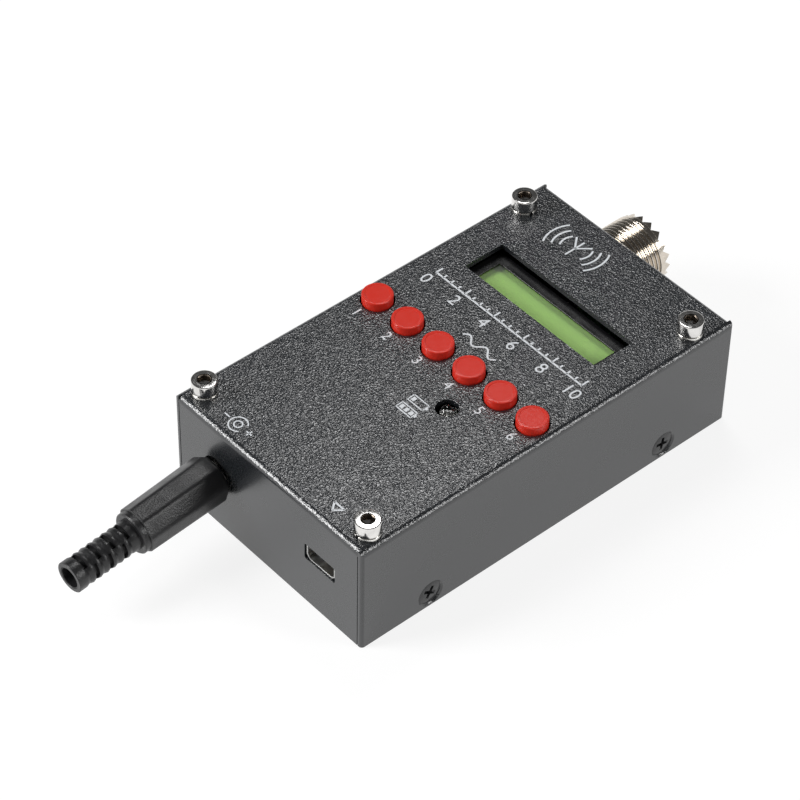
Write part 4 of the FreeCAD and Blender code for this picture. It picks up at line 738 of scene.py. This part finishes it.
class AnalyzerCase(bpy.types.PropertyGroup):
    paint: shade("Paint", "Colour of the wrinkle paint", (0.017, 0.019, 0.022))
    gloss: fraction("Roughness", "Roughness of the paint", 0.21)
    sheen: fraction("Sheen", "Strength of the paint's reflection", 1.0)
    grain_size: millimetres("Grain size", "Distance between the paint's bumps", 0.43)
    grain_depth: millimetres("Grain depth", "Height of the paint's bumps", 0.11)
    # Painted highlight: how much paler than the paint the grain's crests are painted, in place of light
    # catching them
    crest: value("Crest", "Paler tone of crests", 1.7)
    edge: millimetres("Edge", "Softening of the sheet's cut edges", 0.12)


class AnalyzerKeys(bpy.types.PropertyGroup):
    red: shade("Cap colour", "Colour of the key caps", (0.72, 0.035, 0.02))
    rim: millimetres("Rim", "Rounding of a cap's rim", 0.5)
    dish: millimetres("Dish", "Depth of the flat inside a cap's rim", 0.07)


class AnalyzerPlug(bpy.types.PropertyGroup):
    sides: count_of("Facets", "Facets of the cover", 8)
    turn: degrees("Turn", "Turn of the facets", 15.3)
    mouth: millimetres("Mouth", "Across flats at the chamfered mouth", 9.0)
    near: millimetres("Near end", "Across flats near the wall", 10.3)
    far: millimetres("Far end", "Across flats at the far end", 9.75)
    slot_end: millimetres("End ring", "Closed ring at the strain relief's end", 2.3)
    slot_pitch: millimetres("Slot pitch", "Distance between slots on one side", 3.6)
    slot_width: millimetres("Slot width", "Width of a slot", 1.0)
    waist: millimetres("Waist", "Depth of the waists between the rings", 0.3)
    slot_reach: millimetres("Slot reach", "Chord length of a slot", 4.6)
    colour: shade("Cover colour", "Colour of the cover's plastic", (0.016, 0.016, 0.017))


class AnalyzerCoax(bpy.types.PropertyGroup):
    thread: millimetres("Thread", "Outside diameter of the thread", 15.875)
    pitch: millimetres("Pitch", "Pitch of the thread", 1.058)
    groove: millimetres("Groove", "Depth of the thread", 0.55)
    reach: millimetres("Reach", "Socket in front of the wall", 12.0)
    tooth: millimetres("Tooth", "Height of the rim's teeth", 1.5)
    teeth: count_of("Teeth", "Teeth on the rim", 18)
    nickel: shade("Nickel", "Colour of the plating", (0.68, 0.62, 0.54))


class AnalyzerMarks(bpy.types.PropertyGroup):
    ink: shade("Ink", "Colour of the printed marks", (0.8, 0.83, 0.86))
    figure: millimetres("Figure height", "Height of the figures by the keys", 2.4)
    scale_figure: millimetres("Scale figure height", "Height of the scale's figures", 3.0)
    stroke: millimetres("Stroke", "Width of a printed stroke", 0.42)


class AnalyzerStudio(bpy.types.PropertyGroup):
    lens: value("Lens", "Focal length in millimetres", 148.43, unit="CAMERA")
    distance: millimetres("Distance", "Camera to the aimed point", 684.857)
    across: millimetres("Across", "Camera moved to its own right", -11.3263)
    above: millimetres("Above", "Camera moved along its own up", 10.6827)
    azimuth: degrees("Azimuth", "Turn about Z", 48.3206)
    elevation: degrees("Elevation", "Over the level", 44.5539)
    roll: degrees("Roll", "Camera's roll", 1.0473)
    horizon: fraction("Horizon", "Light from the level", 1.0)
    zenith: fraction("Zenith", "Light from above", 0.07)
    key: watts("Key lamp", "Power of the lamp in front", 7.0)
    edge: watts("Edge lamp", "Power of the lamp at the right", 2.5)
    back: watts("Sheen lamp", "Power of the lamp behind", 0.42)


SETTINGS = {
    "analyzer_case": AnalyzerCase,
    "analyzer_keys": AnalyzerKeys,
    "analyzer_plug": AnalyzerPlug,
    "analyzer_coax": AnalyzerCoax,
    "analyzer_marks": AnalyzerMarks,
    "analyzer_studio": AnalyzerStudio,
}


# Operators


class ANALYZER_OT_case(bpy.types.Operator):
    """The folded shell and the bottom cover in black wrinkle paint"""

    bl_idname = "analyzer.case"
    bl_label = "Case"

    def execute(self, context):
        finish = context.scene.analyzer_case
        paint = wrinkle_paint("shell_paint", finish)
        softened_copy("case_shell", "top_shell", "shell_paint", paint, finish.edge)
        plain = wrinkle_paint("cover_paint", finish)
        softened_copy("case_cover", "bottom_cover", "cover_paint", plain, finish.edge)
        return {"FINISHED"}


class ANALYZER_OT_fasteners(bpy.types.Operator):
    """Socket head screws with lock washers on the panel, flat screws in the sides"""

    bl_idname = "analyzer.fasteners"
    bl_label = "Fasteners"

    def execute(self, context):
        self.panel_screws()
        self.side_screws()
        return {"FINISHED"}

    def panel_screws(self):
        """A bright screw and a washer at each corner, each turned a little further."""
        low, high = node_box("panel_screws")
        head, washer = 2.75 * MM, 0.8 * MM
        columns = (low[0] + head, high[0] - head)
        places = [(x, y) for y in (low[1] + head, high[1] - head) for x in columns]
        sizes = {"head": head, "height": 3 * MM, "shank": 1.5 * MM, "length": 8 * MM}
        sizes |= {"socket": 2.5 * MM, "depth": 1.6 * MM, "edge": 0.35 * MM}
        ring = {"outer": 5.6 * MM, "bore": 3.2 * MM, "height": washer, "slit": 0.6 * MM}
        steel = worked_metal("bright_screw", (0.76, 0.75, 0.73), 0.13, size=0.5 * MM)
        step = math.radians(80)
        screws, washers = [], []
        for number, (x, y) in enumerate(places):
            turn = step * number
            seat = turned_about(upright(x, y, PANEL + washer), turn / 3)
            screws.append(socket_screw(seat, **sizes))
            place = turned_about(upright(x, y, PANEL), turn - step)
            washers.append(split_washer(place, **ring))
        mesh = new_mesh("panel_screw_heads", joined(screws), sharp=28)
        new_piece("panel_screw_heads", mesh, "case", "bright_screw", steel, "panel_screws")
        # Painted shade: the faces inside each socket recess get a dark brown metal in place of the
        # shade that falls there
        recess_shade = worked_metal("painted_recess_shade", (0.2, 0.17, 0.14), 0.3)
        floor, lip = PANEL + washer + 1.3 * MM, PANEL + washer + 2.9 * MM
        self.darken(mesh, places, 1.5 * MM, floor, lip, recess_shade)
        spring = worked_metal("spring_steel", (0.74, 0.73, 0.7), 0.2)
        mesh = new_mesh("split_washers", joined(washers), sharp=50)
        new_piece("split_washers", mesh, "case", "spring_steel", spring, "lock_washers")

    def side_screws(self):
        """Two blackened screws in each side, facing outwards."""
        low, high = node_box("side_screws")
        head = 2.85 * MM
        sizes = {"head": head, "shank": 1.5 * MM, "length": 8 * MM}
        sizes |= {"cross": 3.2 * MM, "width": 0.8 * MM, "depth": 1.1 * MM}
        heads = []
        for number, y in enumerate((low[1] + head, high[1] - head)):
            for x, out in ((low[0], -1.0), (high[0], 1.0)):
                place = facing([x, y, low[2] + head], [out, 0.0, 0.0], [0.0, out, 0.0])
                turn = math.radians(20 * (number + 2 + out))
                heads.append(countersunk_screw(turned_about(place, turn), **sizes))
        black, tree, shader = new_finish("black_screw", (0.02, 0.02, 0.022), Roughness=0.24)
        dark, light = (0.012, 0.012, 0.013), (0.03, 0.03, 0.032)
        patches = noise(tree, 0.8 * MM, detail=4.0)
        patterned(tree, shader, colour_between(tree, patches, dark, light))
        mesh = new_mesh("side_screw_heads", joined(heads), sharp=28)
        new_piece("side_screw_heads", mesh, "case", "black_screw", black, "side_screws")

    @staticmethod
    def darken(mesh, places, reach, low, high, material):
        """Give the faces near upright axes, between two levels, a second material."""
        centre = np.empty(len(mesh.polygons) * 3)
        mesh.polygons.foreach_get("center", centre)
        centre = centre.reshape(-1, 3)
        away = np.linalg.norm(centre[:, None, :2] - np.array(places)[None], axis=2).min(axis=1)
        inside = (away < reach) & (centre[:, 2] > low) & (centre[:, 2] < high)
        mesh.materials.append(material)
        mesh.polygons.foreach_set("material_index", inside.astype(np.int32))


class ANALYZER_OT_display(bpy.types.Operator):
    """The display's black frame, clear glass and green field, whose colour holds a painted backlight
    glow and a painted shade towards the back
    """

    bl_idname = "analyzer.display"
    bl_label = "Display"

    def execute(self, context):
        satin = moulded_plastic("black_frame", (0.01, 0.01, 0.011), 0.22)
        softened_copy("display_bezel", "display_frame", "black_frame", satin, 0.08 * MM)
        glass = clear_material("display_glass", (0.93, 0.97, 0.9), 0.04, alpha=0.12, transmission=0.0)
        dress(glass, "display_glass")
        low, high = node_box("display_backlight")
        field, tree, shader = new_finish("display_field", (0.5, 0.78, 0.22), Roughness=0.5)
        # Painted light and painted shade: the field's pale bright green partly stands in for the
        # backlight's glow, and its colour darkens from front to back as a painted shadow of the frame's
        # back edge
        near, far = (0.62, 0.98, 0.24), (0.4, 0.76, 0.12)
        place = {"Vector": object_place(tree)}
        along = shader_node(tree, "ShaderNodeSeparateXYZ", place).outputs["Y"]
        painted_frame_shade = between(tree, along, low=0.0, high=1.0, start=low[1], end=high[1])
        inputs = {"A": painted_frame_shade, "B": noise(tree, 6 * MM), "Factor": 0.2}
        mixed = shader_node(tree, "ShaderNodeMix", inputs).outputs["Result"]
        patterned(tree, shader, colour_between(tree, mixed, near, far, start=0.2, end=0.9))
        bumped(tree, shader, noise(tree, 0.25 * MM), distance=0.003 * MM)
        dress(field, "display_backlight")
        return {"FINISHED"}


class ANALYZER_OT_keys(bpy.types.Operator):
    """Six glossy red caps on white switch stems"""

    bl_idname = "analyzer.keys"
    bl_label = "Keys"

    def execute(self, context):
        finish = context.scene.analyzer_keys
        red = self.red_gloss(finish)
        stem, socket, border, bevel = 1.77 * MM, 2.8 * MM, 0.62 * MM, 0.12 * MM
        for number in KEYS:
            low, high = node_box(f"button_cap_{number}")
            radius, tall = (high[0] - low[0]) / 2, high[2] - low[2]
            flat, floor = radius - border, tall - finish.dish
            corners = [(stem, 0.0), (radius, 0.0), (radius, tall), (flat, tall)]
            rows = [(0.0, socket), (stem, socket), *softened(corners, finish.rim, 7)[:-1]]
            rows += [(flat, tall), (flat - bevel, floor), (flat * 0.4, floor), (0.0, floor)]
            name = f"key_cap_{number}"
            mesh = new_mesh(name, turned(rows, 96, standing(low, high)), sharp=24)
            new_piece(name, mesh, f"button_{number}", "button_red", red, f"button_cap_{number}")
        white = moulded_plastic("stem_white", (0.74, 0.74, 0.71), 0.4)
        dress(white, *(f"button_stem_{number}" for number in KEYS))
        return {"FINISHED"}

    @staticmethod
    def red_gloss(finish):
        """Glossy red plastic that lets a little light in, with a faint unevenness."""
        red, tree, shader = new_finish(
            "button_red",
            finish.red,
            Roughness=0.24,
            Specular_IOR_Level=0.36,
            Subsurface_Weight=0.08,
            Subsurface_Radius=(1.0, 0.2, 0.1),
            Subsurface_Scale=0.6 * MM,
        )
        patterned(tree, shader, rough=between(tree, noise(tree, 1.5 * MM, detail=3.0), 0.2, 0.26))
        bumped(tree, shader, noise(tree, 0.9 * MM, detail=1.0), distance=0.002 * MM)
        return red


class ANALYZER_OT_lamp(bpy.types.Operator):
    """A clear dome over a small reflector cup"""

    bl_idname = "analyzer.lamp"
    bl_label = "Lamp"

    def execute(self, context):
        low, high = node_box("lamp_lens")
        place = standing(low, high)
        radius, flange, thick, tall = 1.5 * MM, 1.9 * MM, 1.0 * MM, high[2] - low[2]
        lean = np.linspace(0.0, math.pi / 2, 20)
        dome = np.stack([radius * np.cos(lean), tall - radius + radius * np.sin(lean)], -1)
        foot = softened([(0, 0), (flange, 0), (flange, thick), (radius, thick)], 0.15 * MM)
        mesh = new_mesh("lamp_dome", turned([*foot, *dome], 72, place), sharp=38)
        clear = clear_material("clear_lens", (0.96, 0.97, 0.98), 0.02)
        new_piece("lamp_dome", mesh, "case", "clear_lens", clear, "lamp_lens")
        rim, base = tall - 2.3 * MM, tall - 3.6 * MM
        under, floor, chip = base - 0.5 * MM, base + 0.2 * MM, base + 0.45 * MM
        cup = [(0.0, under), (0.9 * MM, under), (1.05 * MM, rim), (0.85 * MM, rim)]
        cup += [(0.45 * MM, floor), (0.25 * MM, floor), (0.25 * MM, chip), (0.0, chip)]
        mesh = new_mesh("lamp_cup", turned(cup, 48, place), sharp=30)
        bright = worked_metal("tinned_wire", (0.82, 0.82, 0.8), 0.22)
        new_piece("lamp_cup", mesh, "case", "tinned_wire", bright)
        dress(bright, "lamp_leads")
        return {"FINISHED"}


class ANALYZER_OT_front_sockets(bpy.types.Operator):
    """The data socket and the power jack in the front wall"""

    bl_idname = "analyzer.front_sockets"
    bl_label = "Front sockets"

    def execute(self, context):
        steel = worked_metal("socket_steel", (0.5, 0.5, 0.49), 0.38, streak=(1.0, 0.2, 1.0))
        softened_copy("port_sleeve", "port_shell", "socket_steel", steel, 0.06 * MM)
        black = moulded_plastic("black_plastic", (0.025, 0.025, 0.027), 0.42)
        dress(black, "port_tongue", "jack_housing")
        brass = worked_metal("gold_contact", (0.86, 0.74, 0.5), 0.25)
        dress(brass, "port_contacts", "jack_pin", "jack_leaf")
        return {"FINISHED"}


class ANALYZER_OT_plug(bpy.types.Operator):
    """The plug's faceted cover with its slotted, lined strain relief, and its metal core"""

    bl_idname = "analyzer.plug"
    bl_label = "Power plug"

    def execute(self, context):
        finish = context.scene.analyzer_plug
        black = moulded_plastic("plug_black", finish.colour, 0.34, grain=0.35 * MM, depth=0.05 * MM)
        outside, end = 2.44 * MM, 43.1 * MM
        lining = [(CORD, TAIL_START), (outside, TAIL_START), (outside, end), (CORD, end)]
        tube = turned(lining, 48, plug_frame(), closed=True)
        mesh = new_mesh("plug_cover_faceted", joined([cover_shape(finish), tube]), sharp=35)
        piece = new_piece("plug_cover_faceted", mesh, "plug_sleeve", "plug_black", black, "plug_cover")
        soften_edges(piece, 0.12 * MM, sharp=60)
        dress(worked_metal("plug_metal", (0.7, 0.68, 0.64), 0.2), "plug_core")
        dress(moulded_plastic("plug_inside", (0.03, 0.03, 0.032), 0.5), "plug_insulator")
        dress(worked_metal("plug_brass", (0.8, 0.62, 0.32), 0.25), "plug_contact")
        return {"FINISHED"}


class ANALYZER_OT_coaxial(bpy.types.Operator):
    """The threaded, toothed coaxial socket with its insulator and contact"""

    bl_idname = "analyzer.coaxial"
    bl_label = "Coaxial socket"

    def execute(self, context):
        finish = context.scene.analyzer_coax
        nickel = worked_metal("nickel", finish.nickel, 0.13, streak=(1.0, 3.0, 1.0), size=0.6 * MM)
        mesh = new_mesh("coaxial_socket", joined([coaxial_shape(finish), *coaxial_legs()]), sharp=72)
        new_piece("coaxial_socket", mesh, "case", "nickel", nickel, "coax_body")
        dress(moulded_plastic("insulator", (0.78, 0.75, 0.68), 0.5), "coax_insulator")
        dress(worked_metal("coax_gold", (0.82, 0.7, 0.42), 0.2), "coax_contact")
        return {"FINISHED"}


class ANALYZER_OT_inside(bpy.types.Operator):
    """Boards, chips, standoffs, switches and the battery inside the case"""

    bl_idname = "analyzer.inside"
    bl_label = "Inner parts"

    def execute(self, context):
        dress(board_lacquer("circuit_board"), "main_board", "display_board")
        chips = moulded_plastic("chip_plastic", (0.03, 0.03, 0.032), 0.5, grain=0.08 * MM)
        dress(chips, "controller_chip", "synthesizer_chip", "transformer_core")
        dress(worked_metal("crystal_metal", (0.75, 0.75, 0.74), 0.25), "crystal_can")
        dress(worked_metal("spacer_brass", (0.72, 0.56, 0.27), 0.28), "standoffs", "display_pins")
        dress(worked_metal("screw_steel", (0.6, 0.6, 0.59), 0.3), "board_screws")
        dress(worked_metal("plate_steel", (0.68, 0.68, 0.66), 0.3), "switch_plates", "switch_domes")
        housing = moulded_plastic("inner_plastic", (0.03, 0.03, 0.032), 0.45)
        dress(housing, "display_header", "display_spacers")
        dress(housing, *(f"switch_base_{number}" for number in KEYS))
        dress(worked_metal("cell_foil", (0.74, 0.75, 0.77), 0.35, size=1.2 * MM), "battery_cell")
        foam = moulded_plastic("foam", (0.05, 0.05, 0.05), 0.8, grain=0.5 * MM, depth=0.1 * MM)
        dress(foam, "battery_pad")
        dress(moulded_plastic("wire_jacket", (0.5, 0.03, 0.02), 0.4), "battery_leads")
        dress(moulded_plastic("link_white", (0.78, 0.77, 0.71), 0.45), "battery_connector")
        return {"FINISHED"}


class ANALYZER_OT_marks(bpy.types.Operator):
    """Plain figures by the keys, a plain scale and simple signs, printed in white"""

    bl_idname = "analyzer.marks"
    bl_label = "Printed marks"

    def execute(self, context):
        finish = context.scene.analyzer_marks
        clear, front, beside = 0.005 * MM, -45.8 * MM, 1.0 * MM
        self.shapes, self.base, self.stroke = [], PANEL + clear, finish.stroke
        self.figures(finish)
        self.scale(finish)
        self.wave()
        self.mast()
        self.polarity(MOUNTS["cord_entry"]["pos_m"][0] + beside, front)
        self.triangle(MOUNTS["data_port"]["pos_m"][0], front)
        self.batteries()
        ink, tree, shader = new_finish("printed_ink", finish.ink, Roughness=0.55)
        worn, patches = tinted(finish.ink, 0.85), noise(tree, 0.5 * MM, detail=3.0)
        tone = colour_between(tree, patches, worn, finish.ink, start=0.25, end=0.5)
        patterned(tree, shader, tone)
        grain = noise(tree, 0.6 * MM, detail=3.0, distortion=0.9)
        bumped(tree, shader, grain, distance=0.03 * MM)
        mesh = new_mesh("printed_marks", joined(self.shapes), sharp=30)
        new_piece("printed_marks", mesh, "case", "stem_white", ink)
        return {"FINISHED"}

    def line(self, points, width=None):
        """Add a stroke along a path."""
        self.shapes.append(ribbon(points, width or self.stroke, self.base))

    def number(self, number, height, x, y):
        """Add a number centred on a point."""
        self.shapes.append(number_shape(str(number), height, x, y, self.base))

    def figures(self, finish):
        """One figure in front of each key."""
        row = -6.9 * MM
        for number in KEYS:
            low, high = node_box(f"button_cap_{number}")
            self.number(number, finish.figure, (low[0] + high[0]) / 2, row)

    def scale(self, finish):
        """A level line with short marks, and a taller mark with a figure at every fourth."""
        left, right, level, below = -22.0 * MM, 22.0 * MM, 13.6 * MM, 2.9 * MM
        steps, every, tall, short = 20, 4, 1.9 * MM, 1.1 * MM
        places = [left + (right - left) * step / steps for step in range(steps + 1)]
        self.line([(left, level), (right, level)])
        for step, x in enumerate(places):
            self.line([(x, level), (x, level + (short if step % every else tall))])
        for step in range(0, steps + 1, every):
            self.number(step // 2, finish.scale_figure, places[step], level - below)

    def wave(self):
        """Two turns of a sine: y = level + height sin(2 pi x / length), in millimetres."""
        half, middle, level, height, length = 5.0, 0.5, 5.4, 0.9, 5.0
        x = np.linspace(-half, half, 96)
        y = level + height * np.sin(2 * math.pi * x / length)
        self.line(np.stack([x + middle, y], -1) * MM)

    def mast(self):
        """A mast with two arms, between two sets of arcs."""
        side, middle = MOUNTS["coax_thread"]["pos_m"][0], 41.0 * MM
        foot, top, fork, arm = middle - 3.2 * MM, middle + 2.4 * MM, middle - 0.4 * MM, 2.4 * MM
        self.line([(side, foot), (side, top)])
        self.line([(side - arm, top), (side, fork)])
        self.line([(side + arm, top), (side, fork)])
        for radius in (3.6 * MM, 5.4 * MM, 7.2 * MM):
            self.line(arc((side, middle), radius, -32, 32))
            self.line(arc((side, middle), radius, 148, 212))

    def polarity(self, x, y):
        """A ring in an open ring, with plus at the right and minus at the left."""
        thin, away, half = 0.3 * MM, 3.4 * MM, 0.8 * MM
        self.line(arc((x, y), 0.9 * MM, 0, 360, 40), thin)
        self.line(arc((x, y), 2.0 * MM, 35, 325, 48), thin)
        for centre in (x + away, x - away):
            self.line([(centre - half, y), (centre + half, y)], thin)
        self.line([(x + away, y - half), (x + away, y + half)], thin)

    def triangle(self, x, y):
        """A triangle that points to the front."""
        half, tall = 1.5 * MM, 0.9 * MM
        left, tip, right = (x - half, y + tall), (x, y - tall), (x + half, y + tall)
        for ends in ((left, tip), (tip, right), (left, right)):
            self.line(ends)

    def batteries(self):
        """Two battery outlines, one with one bar and one with three."""
        left, right, half = 2.4 * MM, 6.8 * MM, 0.95 * MM
        cap, cap_half, cap_width = 7.15 * MM, 0.35 * MM, 0.4 * MM
        bar_start, bar_pitch, bar_half, bar_width = 3.25 * MM, 1.35 * MM, 0.55 * MM, 0.85 * MM
        for y, bars in ((-14.6 * MM, 1), (-17.7 * MM, 3)):
            ends = [(left, y - half), (right, y - half), (right, y + half), (left, y + half)]
            for start, end in zip(ends, ends[1:] + ends[:1]):
                self.line([start, end], 0.26 * MM)
            self.line([(cap, y - cap_half), (cap, y + cap_half)], cap_width)
            for number in range(bars):
                x = bar_start + bar_pitch * number
                self.line([(x, y - bar_half), (x, y + bar_half)], bar_width)


class ANALYZER_OT_stage(bpy.types.Operator):
    """Pale floor, soft light from all round, three soft lamps, and the camera"""

    bl_idname = "analyzer.stage"
    bl_label = "Stage"

    def execute(self, context):
        setup = context.scene.analyzer_studio
        self.floor()
        self.world(setup)
        self.lamp("key_lamp", setup.key, away=(-0.5, -0.78, 0.55), distance=0.95, size=0.45)
        self.lamp("edge_lamp", setup.edge, away=(0.72, 0.45, 0.5), distance=0.95, size=0.35)
        self.lamp("sheen_lamp", setup.back, away=(-0.175, 0.156, 0.44), distance=0.45, size=0.15)
        self.camera(setup)
        context.scene.view_settings.view_transform = "Standard"
        return {"FINISHED"}

    def floor(self):
        """A level square, white to the camera, to mirrors and through glass."""
        reach = 3.0
        points = [(-reach, -reach, 0), (reach, -reach, 0), (reach, reach, 0), (-reach, reach, 0)]
        mesh = bpy.data.meshes.new("floor")
        mesh.from_pydata(points, [], [[0, 1, 2, 3]])
        floor = bpy.data.objects.new("floor", mesh)
        bpy.context.scene.collection.objects.link(floor)
        material = bpy.data.materials.new("pale_floor")
        material.use_nodes = True
        tree = material.node_tree
        tree.nodes.clear()
        seen = shader_node(tree, "ShaderNodeLightPath").outputs
        shown = seen["Is Camera Ray"]
        for ray in ("Is Glossy Ray", "Is Transmission Ray"):
            inputs = {0: shown, 1: seen[ray]}
            shown = shader_node(tree, "ShaderNodeMath", inputs, operation="MAXIMUM").outputs[0]
        plain = shader_node(tree, "ShaderNodeBsdfDiffuse", {"Color": (0.8, 0.8, 0.8, 1.0)})
        faint = shader_node(tree, "ShaderNodeBsdfDiffuse", {"Color": (0.24, 0.24, 0.24, 1.0)})
        inputs = {"Color": (1.0, 1.0, 1.0, 1.0), "Strength": 0.84}
        glow = shader_node(tree, "ShaderNodeEmission", inputs)
        inputs = {0: faint.outputs[0], 1: glow.outputs[0]}
        white = shader_node(tree, "ShaderNodeAddShader", inputs)
        inputs = {0: shown, 1: plain.outputs[0], 2: white.outputs[0]}
        mixed = shader_node(tree, "ShaderNodeMixShader", inputs)
        shader_node(tree, "ShaderNodeOutputMaterial", {"Surface": mixed.outputs[0]})
        mesh.materials.append(material)

    def world(self, setup):
        """Light by height: bright near the level, dark overhead, like a room with white walls."""
        world = bpy.data.worlds.new("studio_light")
        world.use_nodes = True
        tree = world.node_tree
        tree.nodes.clear()
        direction = shader_node(tree, "ShaderNodeTexCoord").outputs["Generated"]
        height = shader_node(tree, "ShaderNodeSeparateXYZ", {"Vector": direction}).outputs["Z"]
        light = between(tree, height, setup.horizon, setup.zenith, start=0.08, end=0.34)
        inputs = {"Color": (1.0, 1.0, 1.0, 1.0), "Strength": light}
        glow = shader_node(tree, "ShaderNodeBackground", inputs)
        shader_node(tree, "ShaderNodeOutputWorld", {"Surface": glow.outputs[0]})
        bpy.context.scene.world = world

    def lamp(self, name, power, away, distance, size):
        """A round soft lamp that shines on the object from a direction."""
        data = bpy.data.lights.new(name, "AREA")
        data.shape = "DISK"
        data.size = size
        data.energy = power
        lamp = bpy.data.objects.new(name, data)
        bpy.context.scene.collection.objects.link(lamp)
        away = unit(away)
        level = unit(np.cross(UP, away))
        self.aim(lamp, away * distance, level, np.cross(away, level), away)
        lamp.visible_camera = False

    def camera(self, setup):
        """The camera looks along the reverse of its own Z axis, whose azimuth and elevation are set."""
        a, e, r = setup.azimuth, setup.elevation, setup.roll
        back = np.array([math.sin(a) * math.cos(e), -math.cos(a) * math.cos(e), math.sin(e)])
        level = np.array([math.cos(a), math.sin(a), 0.0])
        tall = np.cross(back, level)
        right = math.cos(r) * level + math.sin(r) * tall
        up = -math.sin(r) * level + math.cos(r) * tall
        data = bpy.data.cameras.new("photo_camera")
        data.lens = setup.lens
        data.sensor_width = 36.0
        data.clip_start = 0.01
        data.clip_end = 20.0
        camera = bpy.data.objects.new("photo_camera", data)
        bpy.context.scene.collection.objects.link(camera)
        place = back * setup.distance + right * setup.across + up * setup.above
        self.aim(camera, place, right, up, back)
        bpy.context.scene.camera = camera

    @staticmethod
    def aim(item, place, right, up, back):
        """Put an object at a place, with its X, Y and Z axes along three directions."""
        matrix = Matrix.Identity(4)
        for column, axis in enumerate((right, up, back, place)):
            for row in range(3):
                matrix[row][column] = float(axis[row])
        item.matrix_world = matrix


OPERATORS = (
    ANALYZER_OT_case,
    ANALYZER_OT_fasteners,
    ANALYZER_OT_display,
    ANALYZER_OT_keys,
    ANALYZER_OT_lamp,
    ANALYZER_OT_front_sockets,
    ANALYZER_OT_plug,
    ANALYZER_OT_coaxial,
    ANALYZER_OT_inside,
    ANALYZER_OT_marks,
    ANALYZER_OT_stage,
)


class VIEW3D_PT_analyzer(bpy.types.Panel):
    """Buttons for the analyzer's steps, and the settings of each group"""

    bl_label = "Antenna analyzer"
    bl_idname = "VIEW3D_PT_analyzer"
    bl_space_type = "VIEW_3D"
    bl_region_type = "UI"
    bl_category = "Analyzer"

    def draw(self, context):
        for operator in OPERATORS:
            self.layout.operator(operator.bl_idname)
        for name in SETTINGS:
            box = self.layout.box()
            settings = getattr(context.scene, name)
            for key in settings.bl_rna.properties.keys():
                if key not in {"rna_type", "name"}:
                    box.prop(settings, key)


CLASSES = (*SETTINGS.values(), *OPERATORS, VIEW3D_PT_analyzer)


def register():
    for item in CLASSES:
        bpy.utils.register_class(item)
    for name, group in SETTINGS.items():
        setattr(bpy.types.Scene, name, bpy.props.PointerProperty(type=group))


def unregister():
    for name in SETTINGS:
        delattr(bpy.types.Scene, name)
    for item in reversed(CLASSES):
        bpy.utils.unregister_class(item)


def main():
    register()
    for operator in OPERATORS:
        group, name = operator.bl_idname.split(".")
        getattr(getattr(bpy.ops, group), name)()


if __name__ == "__main__":
    main()
